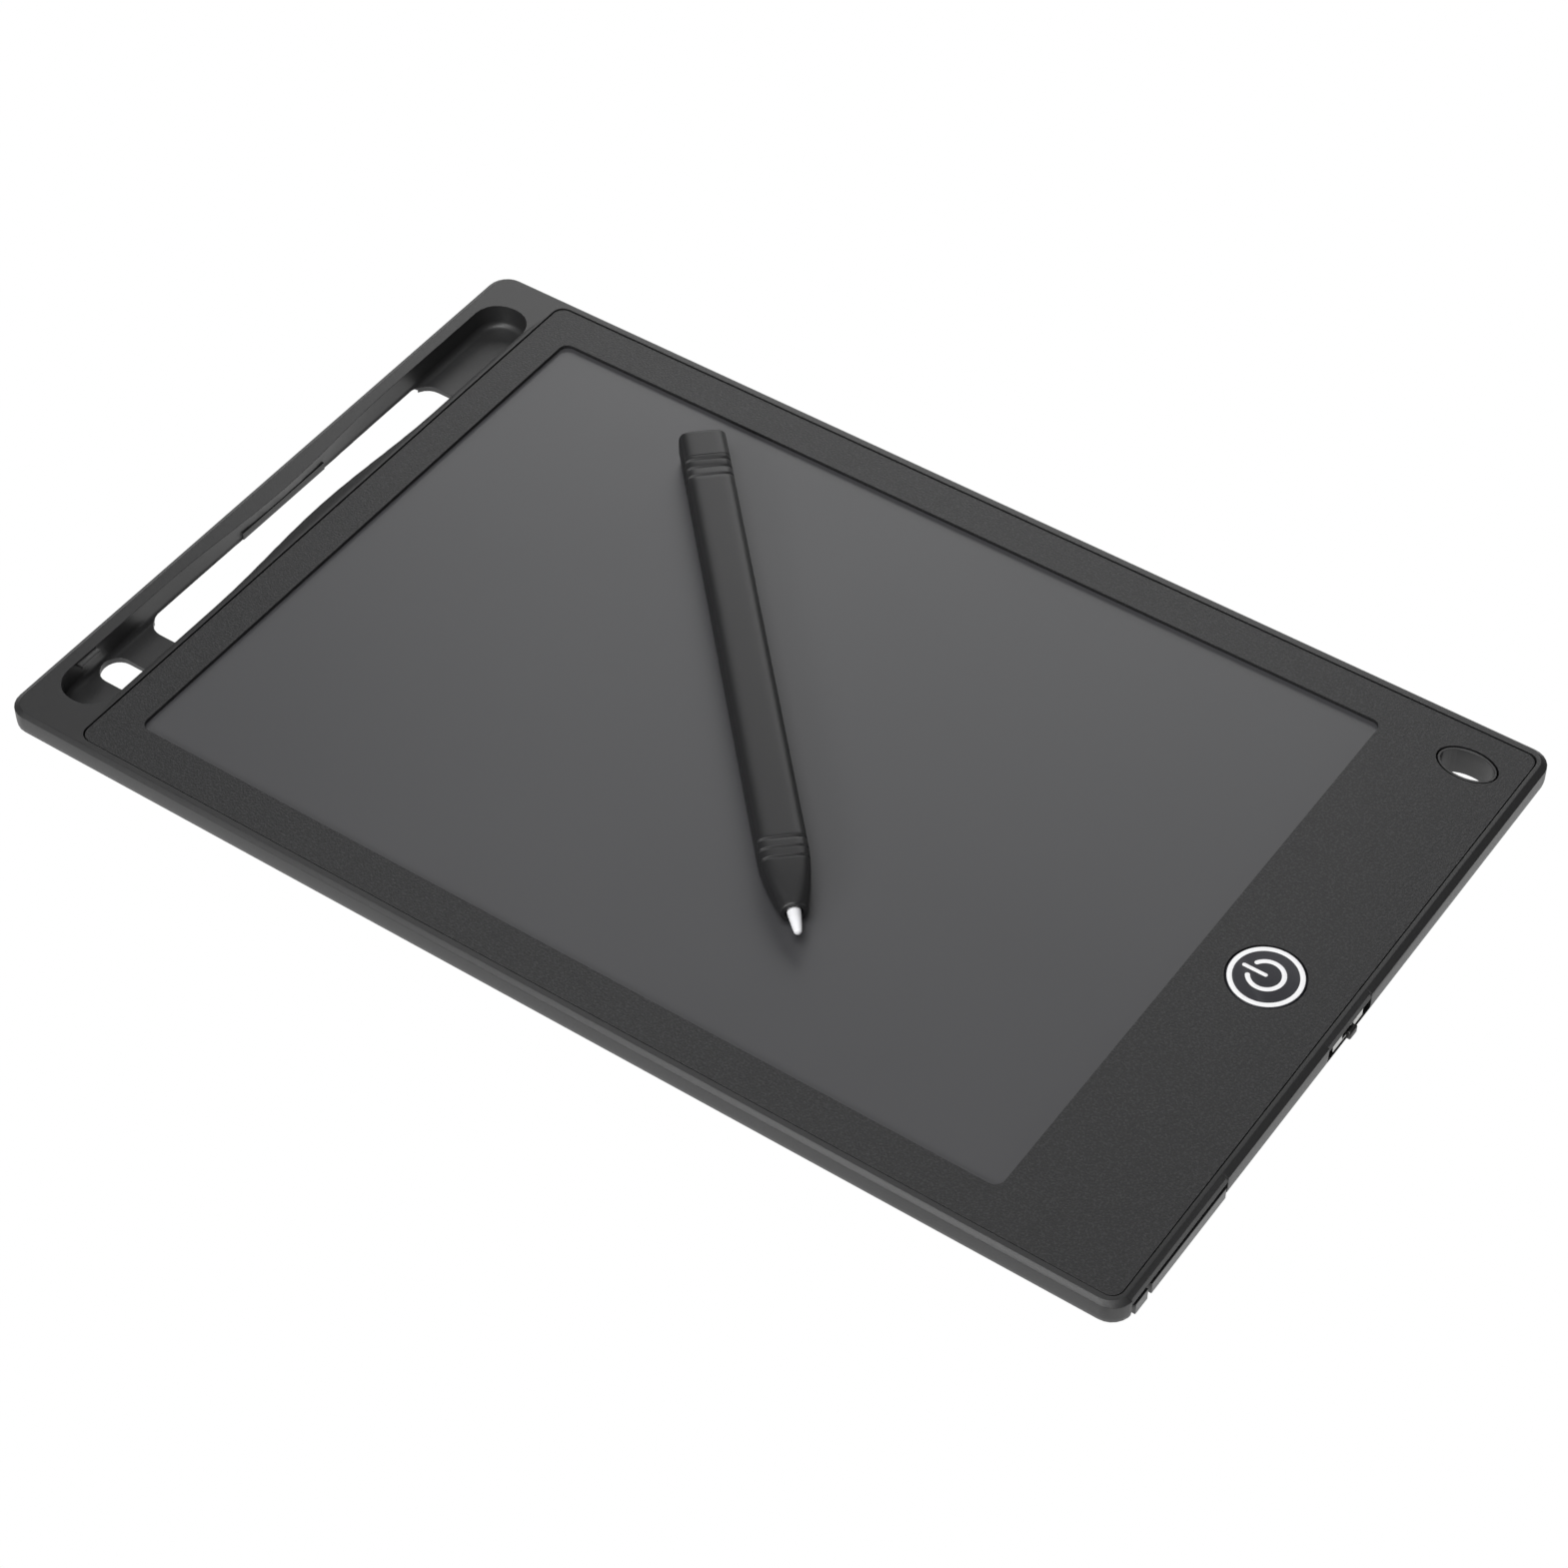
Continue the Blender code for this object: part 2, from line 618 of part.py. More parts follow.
def add_ribs(housing):
    """Long and cross ribs on the floor, which carry the screen's backing sheet."""
    foot = FLOOR_THICKNESS - SINK
    inside = FRAME_HALF_WIDTH - FRAME_WIDTH / 2
    rear = FRAME_BACK - FRAME_WIDTH / 2
    for number in range(CROSS_RIB_COUNT):
        y = SHEET_FRONT + (rear - SHEET_FRONT) * number / CROSS_RIB_COUNT
        outline = rectangle(-inside, inside, y - RIB_WIDTH / 2, y + RIB_WIDTH / 2)
        join(housing, plate(f"cross_rib_{number + 1}", [outline], foot, RIB_TOP))
    for number in range(LONG_RIB_COUNT):
        x = inside * (2 * (number + 1) / (LONG_RIB_COUNT + 1) - 1)
        outline = rectangle(x - RIB_WIDTH / 2, x + RIB_WIDTH / 2, SHEET_FRONT, rear)
        join(housing, plate(f"long_rib_{number + 1}", [outline], foot, RIB_TOP))


def add_battery_bay(housing):
    """The drawer's opening in the end wall and the two rails that guide it."""
    outside = -HALF_LENGTH - OVERRUN
    rail_back = DRAWER_BACK - EAR_THICKNESS
    opening = rectangle(BAY_LEFT, BAY_RIGHT, outside, RECESS_FRONT + OVERRUN)
    cut(housing, plate("drawer_opening", [opening], FLOOR_THICKNESS, OPENING_TOP))
    notch = rectangle(BAY_LEFT, BAY_RIGHT, outside, BEZEL_BACK + FIT_GAP)
    cut(housing, plate("drawer_face_notch", [notch], -OVERRUN, OPENING_TOP))
    passage = rectangle(BAY_LEFT, BAY_RIGHT, FRAME_FRONT - OVERRUN, DRAWER_BACK + FIT_GAP)
    cut(housing, plate("drawer_passage", [passage], FLOOR_THICKNESS, LEDGE_TOP + OVERRUN))
    cut(housing, lip_cutter("drawer_lip_cutter", BAY_LEFT, BAY_RIGHT))
    rail_top = FLOOR_THICKNESS + RAIL_HEIGHT
    for side, left in (("left", BAY_LEFT - RAIL_WIDTH), ("right", BAY_RIGHT)):
        rail = rectangle(left, left + RAIL_WIDTH, FRAME_FRONT, rail_back)
        join(housing, plate(f"{side}_rail", [rail], FLOOR_THICKNESS - SINK, rail_top))


def lip_cutter(name, left, right):
    """A wedge that pulls the rim in above an opening in the button end."""
    wall = -HALF_LENGTH
    outside = wall - OVERRUN
    outline = [
        (wall, OPENING_TOP), (wall + OPENING_LIP_INSET, RIM_FOOT),
        (wall + END_CHAMFER_INSET, TABLET_THICKNESS), (wall + END_CHAMFER_INSET, TABLET_THICKNESS + OVERRUN),
        (outside, TABLET_THICKNESS + OVERRUN), (outside, OPENING_TOP),
    ]
    return standing_plate(name, outline, ((left + right) / 2, 0, 0), right - left, math.pi / 2)


def stake_places():
    """Where the two heat stakes hold the board."""
    y = BOARD_BACK - STAKE_MARGIN
    return [(BOARD_LEFT + STAKE_MARGIN, y), (BOARD_RIGHT - STAKE_MARGIN, y)]


def add_stakes(housing):
    """Pins through the board, melted over it into round heads."""
    for number, (x, y) in enumerate(stake_places()):
        head_bottom = BOARD_TOP + SHEET_GAP
        profile = [
            (0, head_bottom + STAKE_HEAD_HEIGHT),
            (STAKE_HEAD_RADIUS / 2, head_bottom + STAKE_HEAD_HEIGHT),
            (STAKE_HEAD_RADIUS, head_bottom + STAKE_HEAD_HEIGHT / 2),
            (STAKE_HEAD_RADIUS, head_bottom),
            (STAKE_RADIUS, head_bottom),
            (STAKE_RADIUS, FLOOR_THICKNESS - SINK),
            (0, FLOOR_THICKNESS - SINK),
        ]
        join(housing, turned(f"heat_stake_{number + 1}", profile, (x, y, 0), SMALL_ROUND_STEPS))


def add_collar(housing):
    """The lanyard hole: an oval tube that rises through the panel."""
    middle = (LANYARD_X, LANYARD_Y)
    tube = ellipse(LANYARD_WIDTH - 2 * FIT_GAP, LANYARD_LENGTH - 2 * FIT_GAP, middle)
    join(housing, plate("collar", [tube], FLOOR_THICKNESS - SINK, PANEL_TOP - COLLAR_DROP))
    wall = FIT_GAP + COLLAR_WALL
    bore = ellipse(LANYARD_WIDTH - 2 * wall, LANYARD_LENGTH - 2 * wall, middle)
    cut(housing, plate("collar_bore", [bore], -OVERRUN, TABLET_THICKNESS))


def make_rear_housing():
    """The one-piece shell: rim, floor, pen groove, ribs, bays and collar."""
    housing = loft("rear_housing", body_sections())
    recess = rounded_rectangle(2 * RECESS_HALF_WIDTH, RECESS_BACK - RECESS_FRONT, PANEL_CORNER_RADIUS,
                               (0, (RECESS_FRONT + RECESS_BACK) / 2))
    cut(housing, plate("inside_cutter", [recess], FLOOR_THICKNESS, TABLET_THICKNESS + OVERRUN))
    foot = FLOOR_THICKNESS - SINK
    frame = frame_ring("support_frame", FRAME_HALF_WIDTH, FRAME_FRONT, FRAME_BACK, FRAME_WIDTH,
                       foot, LEDGE_TOP)
    join(housing, frame)
    add_ribs(housing)
    add_battery_bay(housing)
    left = -SLIDE_OPENING_LENGTH / 2
    right = SLIDE_OPENING_LENGTH / 2
    opening = rectangle(left, right, -HALF_LENGTH - OVERRUN, RECESS_FRONT + OVERRUN)
    cut(housing, plate("slide_opening", [opening], SLIDE_SILL_HEIGHT, OPENING_TOP))
    cut(housing, lip_cutter("slide_lip_cutter", left, right))
    passage = rectangle(left, right, FRAME_FRONT - OVERRUN, BAY_FRONT + OVERRUN)
    cut(housing, plate("board_passage", [passage], FLOOR_THICKNESS, LEDGE_TOP + OVERRUN))
    add_stakes(housing)
    cut_groove(housing)
    add_collar(housing)
    return finish(housing, looks["housing"])


def make_front_panel():
    """The matte plate round the screen, with holes for the button and the collar."""
    middle = (0, (PANEL_FRONT + PANEL_BACK) / 2)
    outer = rounded_rectangle(2 * PANEL_HALF_WIDTH, PANEL_BACK - PANEL_FRONT, PANEL_CORNER_RADIUS, middle)
    window = rounded_rectangle(WINDOW_WIDTH, WINDOW_LENGTH, WINDOW_CORNER_RADIUS, (0, WINDOW_MIDDLE))
    hole = 2 * (BUTTON_RADIUS + BUTTON_GAP)
    button = ellipse(hole, hole, (0, BUTTON_Y), 2 * ROUND_STEPS)
    collar = ellipse(LANYARD_WIDTH, LANYARD_LENGTH, (LANYARD_X, LANYARD_Y))
    finish(plate("front_panel", [outer, window, button, collar], PANEL_BOTTOM, PANEL_TOP), looks["panel"])


def make_screen():
    """Tape, liquid crystal film and backing sheet under the panel."""
    half = PANEL_HALF_WIDTH - TAPE_EDGE_INSET
    tape = frame_ring("panel_tape", half, PANEL_FRONT + TAPE_EDGE_INSET, PANEL_BACK - TAPE_EDGE_INSET,
                      TAPE_WIDTH, TAPE_BOTTOM, TAPE_TOP)
    finish(tape, looks["tape"])
    outline = rounded_rectangle(WINDOW_WIDTH + 2 * FILM_LIP, WINDOW_LENGTH + 2 * FILM_LIP,
                                SHEET_CORNER_RADIUS, (0, WINDOW_MIDDLE))
    finish(plate("lcd_film", [outline], FILM_BOTTOM, FILM_TOP), looks["film"])
    finish(plate("backing_sheet", [outline], BACKING_BOTTOM, BACKING_TOP), looks["backing"])


def make_board():
    """The board with its tab for the slide switch, and what is soldered on it."""
    half_tab = BOARD_TAB_WIDTH / 2
    tab_front = -HALF_LENGTH + BOARD_TAB_FROM_END
    outline = [
        (BOARD_LEFT, BOARD_FRONT), (-half_tab, BOARD_FRONT), (-half_tab, tab_front), (half_tab, tab_front),
        (half_tab, BOARD_FRONT), (BOARD_RIGHT, BOARD_FRONT), (BOARD_RIGHT, BOARD_BACK),
        (BOARD_LEFT, BOARD_BACK),
    ]
    pin = 2 * (STAKE_RADIUS + FIT_GAP)
    holes = [ellipse(pin, pin, place, SMALL_ROUND_STEPS) for place in stake_places()]
    finish(plate("circuit_board", [outline] + holes, BOARD_BOTTOM, BOARD_TOP), looks["board"])
    on_board("control_chip", CHIP_SIZE, board_spot(CHIP_PLACE_SHARES), looks["epoxy"])
    on_board("boost_inductor", INDUCTOR_SIZE, board_spot(INDUCTOR_PLACE_SHARES), looks["epoxy"])
    first_x, first_y = board_spot(CAPACITOR_PLACE_SHARES)
    for number in range(CAPACITOR_COUNT):
        place = (first_x, first_y + CAPACITOR_SPACING * number)
        on_board(f"capacitor_{number + 1}", CAPACITOR_SIZE, place, looks["ceramic"])
    on_board("tail_socket", SOCKET_SIZE, board_spot(SOCKET_PLACE_SHARES), looks["socket"])


def board_spot(shares):
    """A place on the board, from shares of its reach left or right of the button and of its half depth."""
    reach = BOARD_RIGHT if shares[0] > 0 else -BOARD_LEFT
    return reach * shares[0], BOARD_MIDDLE + shares[1] * (BOARD_BACK - BOARD_FRONT) / 2


def on_board(name, size, place, look):
    """A small block on the board."""
    height = BOARD_TOP + SHEET_GAP + size[2] / 2
    spot = (*place, height)
    return finish(block(name, size, spot, min(CHIP_EDGE, size[2] / 4)), look)


def strip(path, thickness):
    """Outline of a strip of even thickness that follows a bent path in a plane."""
    points = [Vector(point) for point in path]
    left, right = [], []
    for index, point in enumerate(points):
        before = points[max(index - 1, 0)]
        after = points[min(index + 1, len(points) - 1)]
        into = (point - before).normalized() if index else (after - point).normalized()
        out = (after - point).normalized() if index < len(points) - 1 else into
        along = (into + out).normalized()
        side = Vector((-along.y, along.x)) * (thickness / 2 / along.dot(into))
        left.append(tuple(point + side))
        right.append(tuple(point - side))
    return right + left[::-1]


def standing_plate(name, outline, start, width, turn):
    """A plate stood upright: its outline's first number runs along X, or along Y when turned."""
    solid = plate(name, [outline], -width / 2, width / 2)
    solid.rotation_euler = (math.pi / 2, 0, turn)
    solid.location = start
    return solid


def make_tail():
    """The film's flat connector, bent down behind the window to its socket on the board."""
    socket_x, socket_y = board_spot(SOCKET_PLACE_SHARES)
    socket_back = socket_y + SOCKET_SIZE[1] / 2 + FIT_GAP
    low = BOARD_TOP + SHEET_GAP + SOCKET_SIZE[2] / 2
    high = FILM_BOTTOM + FILM_THICKNESS / 2
    film_edge = SHEET_FRONT - SHEET_GAP
    bend = (film_edge - socket_back) / 4
    path = [(0, low), (bend, low), (3 * bend, high), (film_edge - socket_back, high)]
    outline = strip(path, TAIL_THICKNESS)
    tail = standing_plate("film_tail", outline, (socket_x, socket_back, 0), TAIL_WIDTH, math.pi / 2)
    finish(tail, looks["tail"])


def make_erase_button():
    """The round button, its flange and stem, and the tact switch below it."""
    top = PANEL_TOP
    flange_top = PANEL_BOTTOM - SHEET_GAP
    flange_bottom = flange_top - BUTTON_FLANGE_THICKNESS
    body_bottom = BOARD_TOP + SHEET_GAP
    body_top = body_bottom + TACT_HEIGHT
    plunger_top = body_top + PLUNGER_TOP
    profile = [
        (0, top), (BUTTON_RADIUS - BUTTON_GAP, top), (BUTTON_RADIUS, top - BUTTON_GAP),
        (BUTTON_RADIUS, flange_top), (BUTTON_RADIUS + BUTTON_FLANGE, flange_top),
        (BUTTON_RADIUS + BUTTON_FLANGE, flange_bottom), (BUTTON_STEM_RADIUS, flange_bottom),
        (BUTTON_STEM_RADIUS, plunger_top + SHEET_GAP), (0, plunger_top + SHEET_GAP),
    ]
    finish(turned("erase_button", profile, (0, BUTTON_Y, 0), 2 * ROUND_STEPS), looks["button"])
    size = (TACT_WIDTH, TACT_WIDTH, TACT_HEIGHT)
    body = block("tact_switch_body", size, (0, BUTTON_Y, (body_bottom + body_top) / 2))
    well_floor = body_bottom + TACT_WELL_FLOOR
    width = 2 * TACT_WELL_RADIUS
    well = ellipse(width, width, (0, BUTTON_Y), SMALL_ROUND_STEPS)
    cut(body, plate("tact_well", [well], well_floor, body_top + OVERRUN))
    finish(body, looks["metal"])
    foot = well_floor + BUTTON_TRAVEL + SHEET_GAP / 2
    plunger = [(0, plunger_top), (PLUNGER_RADIUS, plunger_top), (PLUNGER_RADIUS, foot), (0, foot)]
    finish(turned("tact_switch_plunger", plunger, (0, BUTTON_Y, 0), SMALL_ROUND_STEPS), looks["button"])


def make_slide_switch():
    """The lock switch in the button end: a metal case and a knob that slides in its track."""
    front = -HALF_LENGTH + SLIDE_CASE_RECESS
    bottom = BOARD_TOP + SHEET_GAP
    middle = bottom + SLIDE_CASE_HEIGHT / 2
    size = (SLIDE_CASE_LENGTH, SLIDE_CASE_DEPTH, SLIDE_CASE_HEIGHT)
    case = block("slide_switch_case", size, (0, front + SLIDE_CASE_DEPTH / 2, middle))
    half_track = SLIDE_TRACK_LENGTH / 2
    track = rectangle(-half_track, half_track, front - OVERRUN, front + SLIDE_TRACK_DEPTH)
    half_height = SLIDE_TRACK_HEIGHT / 2
    cut(case, plate("slide_track", [track], middle - half_height, middle + half_height))
    finish(case, looks["metal"])
    head_back = front - KNOB_GAP
    head_front = -HALF_LENGTH - KNOB_STAND_OUT
    size = (KNOB_WIDTH, head_back - head_front, KNOB_HEIGHT)
    knob = block("slide_switch_knob", size, (0, (head_front + head_back) / 2, middle), KNOB_ROUNDING)
    half_stem = KNOB_STEM_WIDTH / 2
    stem_front = head_back - KNOB_STEM_SINK
    stem = rectangle(-half_stem, half_stem, stem_front, front + SLIDE_TRACK_DEPTH - KNOB_GAP)
    join(knob, plate("knob_stem", [stem], middle - half_height + KNOB_GAP, middle + half_height - KNOB_GAP))
    finish(knob, looks["knob"])


def make_battery_drawer():
    """The drawer with its cell pocket, its sprung catch, and the coin cell."""
    face = rectangle(DRAWER_LEFT, DRAWER_RIGHT, -HALF_LENGTH, BEZEL_BACK)
    bezel = plate("battery_drawer", [face], DRAWER_FACE_BOTTOM, DRAWER_FACE_TOP)
    tray = rectangle(DRAWER_LEFT, DRAWER_RIGHT, BEZEL_BACK - SINK, DRAWER_BACK)
    join(bezel, plate("drawer_tray", [tray], DRAWER_BOTTOM, TRAY_TOP))
    ear = rectangle(CATCH_LEFT, DRAWER_LEFT + SINK, DRAWER_BACK - EAR_THICKNESS, DRAWER_BACK)
    join(bezel, plate("drawer_ear", [ear], DRAWER_BOTTOM, TRAY_TOP))
    pocket = 2 * CELL_ROOM_RADIUS
    cut(bezel, plate("cell_pocket", [ellipse(pocket, pocket, (DRAWER_X, CELL_Y), 2 * ROUND_STEPS)],
                     DRAWER_BOTTOM + DRAWER_FLOOR, DRAWER_FACE_TOP + OVERRUN))
    half_notch = DRAWER_NOTCH_WIDTH / 2
    notch = rectangle(DRAWER_X - half_notch, DRAWER_X + half_notch, CELL_Y + CELL_RADIUS * NOTCH_REACH_SHARE,
                      DRAWER_BACK + OVERRUN)
    cut(bezel, plate("contact_notch", [notch], DRAWER_BOTTOM + DRAWER_FLOOR, DRAWER_FACE_TOP + OVERRUN))
    finish(bezel, looks["drawer"])
    make_catch()
    profile = [
        (0, CELL_TOP), (CELL_CAP_RADIUS, CELL_TOP), (CELL_CAP_RADIUS, CELL_TOP - CELL_CAP_STEP),
        (CELL_RADIUS - CELL_CAP_STEP, CELL_TOP - CELL_CAP_STEP), (CELL_RADIUS, CELL_TOP - 2 * CELL_CAP_STEP),
        (CELL_RADIUS, CELL_BOTTOM + CELL_CAP_STEP), (CELL_RADIUS - CELL_CAP_STEP, CELL_BOTTOM),
        (0, CELL_BOTTOM),
    ]
    finish(turned("coin_cell", profile, (DRAWER_X, CELL_Y, 0), 2 * ROUND_STEPS), looks["metal"])


def make_catch():
    """The catch beside the drawer: a tab on a thin arm that bends at its back end."""
    root_y = DRAWER_BACK - EAR_THICKNESS - FIT_GAP
    middle_x = (CATCH_LEFT + CATCH_RIGHT) / 2
    tab_back = -HALF_LENGTH + CATCH_TAB_DEPTH
    half_arm = CATCH_ARM_THICKNESS / 2
    arm = rectangle(-half_arm, half_arm, tab_back - SINK - root_y, 0)
    catch = plate("drawer_catch", [arm], DRAWER_BOTTOM, TRAY_TOP)
    catch.location.x = middle_x
    catch.location.y = root_y
    tab = rectangle(CATCH_LEFT, CATCH_RIGHT, BEZEL_BACK - SINK, tab_back)
    join(catch, plate("catch_tab", [tab], DRAWER_BOTTOM, DRAWER_FACE_TOP))
    face = rectangle(CATCH_LEFT, CATCH_RIGHT, -HALF_LENGTH, BEZEL_BACK)
    join(catch, plate("catch_face", [face], DRAWER_FACE_BOTTOM, DRAWER_FACE_TOP))
    bump_front = tab_back - CATCH_BUMP_LENGTH
    bump = rectangle(CATCH_LEFT - CATCH_BUMP, CATCH_LEFT + SINK, bump_front, tab_back - SINK)
    join(catch, plate("catch_bump", [bump], DRAWER_BOTTOM + DRAWER_LIFT, TRAY_TOP))
    finish(catch, looks["drawer"])


def make_contacts():
    """The two spring strips between the cell and the board."""
    foot = BOARD_TOP + SHEET_GAP + CONTACT_THICKNESS / 2
    touch = CELL_TOP + SHEET_GAP + CONTACT_THICKNESS / 2
    arch = touch + CONTACT_RISE
    reach = BOARD_LEFT + CONTACT_PAD - DRAWER_X
    over_rail = BOARD_LEFT - DRAWER_X
    path = [
        (-CONTACT_TOUCH_LENGTH / 2, touch + CONTACT_THICKNESS), (0, touch), (CONTACT_TOUCH_LENGTH, touch),
        (2 * CONTACT_TOUCH_LENGTH, arch), (over_rail, arch), (over_rail + CONTACT_PAD / 3, foot),
        (reach, foot),
    ]
    outline = strip(path, CONTACT_THICKNESS)
    negative = standing_plate("negative_contact", outline, (DRAWER_X, CELL_Y, 0), CONTACT_WIDTH, 0)
    finish(negative, looks["contact"])
    touch_y = CELL_Y + CELL_RADIUS + CONTACT_THICKNESS
    behind = BOARD_BACK + SHEET_GAP + CONTACT_THICKNESS / 2
    bend_x = DRAWER_X + DRAWER_NOTCH_WIDTH / 2 - CONTACT_TOUCH_LENGTH / 2
    path = [
        (DRAWER_X - CONTACT_TOUCH_LENGTH / 2, touch_y + CONTACT_THICKNESS), (DRAWER_X, touch_y),
        (DRAWER_X + CONTACT_TOUCH_LENGTH / 2, touch_y + CONTACT_THICKNESS),
        (bend_x, behind), (BOARD_LEFT + CONTACT_PAD, behind),
    ]
    bottom = CELL_BOTTOM + CELL_CAP_STEP
    positive = plate("positive_contact", [strip(path, CONTACT_THICKNESS)], bottom, TRAY_TOP)
    finish(positive, looks["contact"])


def stylus_section(along, squareness=STYLUS_SQUARENESS, wide=1, high=1):
    """A section across the stylus: a superellipse, with shares of its full width and height."""
    points = []
    for step in range(ROUND_STEPS):
        angle = math.pi * (2 * step + 1) / ROUND_STEPS
        across = math.copysign(abs(math.cos(angle)) ** (2 / squareness), math.cos(angle))
        up = math.copysign(abs(math.sin(angle)) ** (2 / squareness), math.sin(angle))
        points.append((along, STYLUS_WIDTH / 2 * wide * across, STYLUS_HEIGHT / 2 * high * up))
    return points


def nose_section(along, shrink=0):
    """A section of the nose, which swells from round at the nib to the barrel's full shape."""
    reach = min((along - NIB_LENGTH) / NOSE_LENGTH, 1)
    swollen = math.sin(math.pi / 2 * reach)
    wide = (NOSE_END_RADIUS + (STYLUS_WIDTH / 2 - NOSE_END_RADIUS) * swollen - shrink) / (STYLUS_WIDTH / 2)
    high = (NOSE_END_RADIUS + (STYLUS_HEIGHT / 2 - NOSE_END_RADIUS) * swollen - shrink) / (STYLUS_HEIGHT / 2)
    return stylus_section(along, 2 + (STYLUS_SQUARENESS - 2) * swollen, wide, high)


def ridge_sections(start):
    """Three shallow grooves round the stylus."""
    sections = []
    for number in range(RIDGE_COUNT):
        near = start + RIDGE_PITCH * number
        sections.append(nose_section(near - RIDGE_GROOVE / 2))
        sections.append(nose_section(near - RIDGE_GROOVE / 4, RIDGE_DEPTH))
        sections.append(nose_section(near + RIDGE_GROOVE / 4, RIDGE_DEPTH))
        sections.append(nose_section(near + RIDGE_GROOVE / 2))
    return sections


def make_stylus():
    """The stylus: barrel with cone nose, white nib and rear cap, on one parent."""
    height = FILM_TOP + SHEET_GAP + STYLUS_HEIGHT / 2
    holder = bpy.data.objects.new("stylus_axis", None)
    holder.location = (STYLUS_TIP_SHARES[0] * HALF_WIDTH, STYLUS_TIP_SHARES[1] * HALF_LENGTH, height)
    holder.rotation_euler = (0, 0, math.acos(STYLUS_REACH_SHARE * WINDOW_WIDTH / STYLUS_LENGTH))
    parts.objects.link(holder)
    barrel_end = STYLUS_LENGTH - CAP_LENGTH
    nose_start = NIB_LENGTH
    run = FRONT_RIDGE_FROM_TIP - RIDGE_PITCH - nose_start
    sections = [nose_section(nose_start + run * step / NOSE_STEPS) for step in range(NOSE_STEPS + 1)]
    sections += ridge_sections(FRONT_RIDGE_FROM_TIP)
    sections += ridge_sections(STYLUS_LENGTH - REAR_RIDGE_FROM_END)
    sections.append(nose_section(barrel_end))
    barrel = loft("stylus_barrel", sections)
    socket_end = nose_start + NIB_SHANK_LENGTH + FIT_GAP
    cut(barrel, lying_rod("nib_socket", nose_start - OVERRUN, socket_end, NIB_SHANK_RADIUS + PLUG_GAP))
    plug_start = barrel_end - CAP_PLUG_LENGTH - FIT_GAP
    cut(barrel, lying_rod("cap_socket", plug_start, barrel_end + OVERRUN, CAP_PLUG_RADIUS + PLUG_GAP))
    nib = make_nib(nose_start)
    cap = make_cap(barrel_end)
    for piece, look in ((barrel, "stylus"), (nib, "nib"), (cap, "stylus")):
        finish(piece, looks[look], holder)
    for cutter in ("nib_socket", "cap_socket", "cap_plug"):
        bpy.data.objects[cutter].parent = holder


def lying_turned(name, profile):
    """A turned solid along the stylus: radius and distance from the tip, rear end first."""
    solid = turned(name, profile, (0, 0, 0), SMALL_ROUND_STEPS)
    solid.rotation_euler = (0, math.pi / 2, 0)
    return solid


def lying_rod(name, start, end, radius):
    """A round rod along the stylus."""
    return lying_turned(name, [(0, end), (radius, end), (radius, start), (0, start)])


def make_nib(nose_start):
    """The white writing point, a taper on a shank that sits in the nose."""
    base = nose_start - SHEET_GAP
    shank_end = nose_start + NIB_SHANK_LENGTH
    profile = [
        (0, shank_end), (NIB_SHANK_RADIUS, shank_end), (NIB_SHANK_RADIUS, base), (NIB_BASE_RADIUS, base),
        (NIB_TIP_RADIUS, NIB_TIP_RADIUS / 2), (NIB_TIP_RADIUS * NIB_BLUNT_SHARE, 0), (0, 0),
    ]
    return lying_turned("stylus_nib", profile)


def make_cap(barrel_end):
    """The rear cap, blunt with a chamfered end, and a plug into the barrel."""
    start = barrel_end + SHEET_GAP
    sections = [
        stylus_section(start),
        stylus_section(STYLUS_LENGTH - CAP_TAPER_LENGTH),
        stylus_section(STYLUS_LENGTH, wide=CAP_END_WIDTH_SHARE, high=CAP_END_HEIGHT_SHARE),
    ]
    cap = loft("stylus_end_cap", sections)
    join(cap, lying_rod("cap_plug", barrel_end - CAP_PLUG_LENGTH, start + OVERRUN, CAP_PLUG_RADIUS))
    return cap


clear_scene()
parts = new_collection("lcd_writing_tablet")
cutters = new_collection("cutters")
looks = {
    "housing": material("matte_black_housing", (0.060, 0.060, 0.061), 0.55),
    "panel": material("textured_black_panel", (0.052, 0.052, 0.053), 0.62),
    "tape": material("black_tape", (0.020, 0.020, 0.020), 0.80),
    "film": material("grey_lcd_film", (0.120, 0.120, 0.125), 0.38),
    "backing": material("black_backing_sheet", (0.015, 0.015, 0.015), 0.70),
    "board": material("green_circuit_board", (0.020, 0.120, 0.050), 0.45),
    "epoxy": material("black_epoxy", (0.012, 0.012, 0.012), 0.35),
    "ceramic": material("tan_ceramic", (0.420, 0.300, 0.170), 0.50),
    "socket": material("cream_plastic", (0.700, 0.650, 0.520), 0.50),
    "tail": material("amber_flex", (0.500, 0.230, 0.050), 0.35),
    "metal": material("plated_steel", (0.620, 0.620, 0.620), 0.30, 1.0),
    "contact": material("nickel_spring", (0.600, 0.590, 0.560), 0.28, 1.0),
    "button": material("matte_black_button", (0.048, 0.048, 0.050), 0.50),
    "knob": material("black_knob", (0.022, 0.022, 0.022), 0.40),
    "drawer": material("black_drawer", (0.058, 0.058, 0.059), 0.50),
    "stylus": material("satin_black_stylus", (0.062, 0.062, 0.063), 0.42),
    "nib": material("white_nib", (0.800, 0.800, 0.820), 0.40),
}
make_rear_housing()
make_front_panel()
make_screen()
make_board()
make_tail()
make_erase_button()
make_slide_switch()
make_battery_drawer()
make_contacts()
make_stylus()
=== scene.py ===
import json
import math

import bmesh
import bpy
import numpy as np
from mathutils import Matrix, Vector


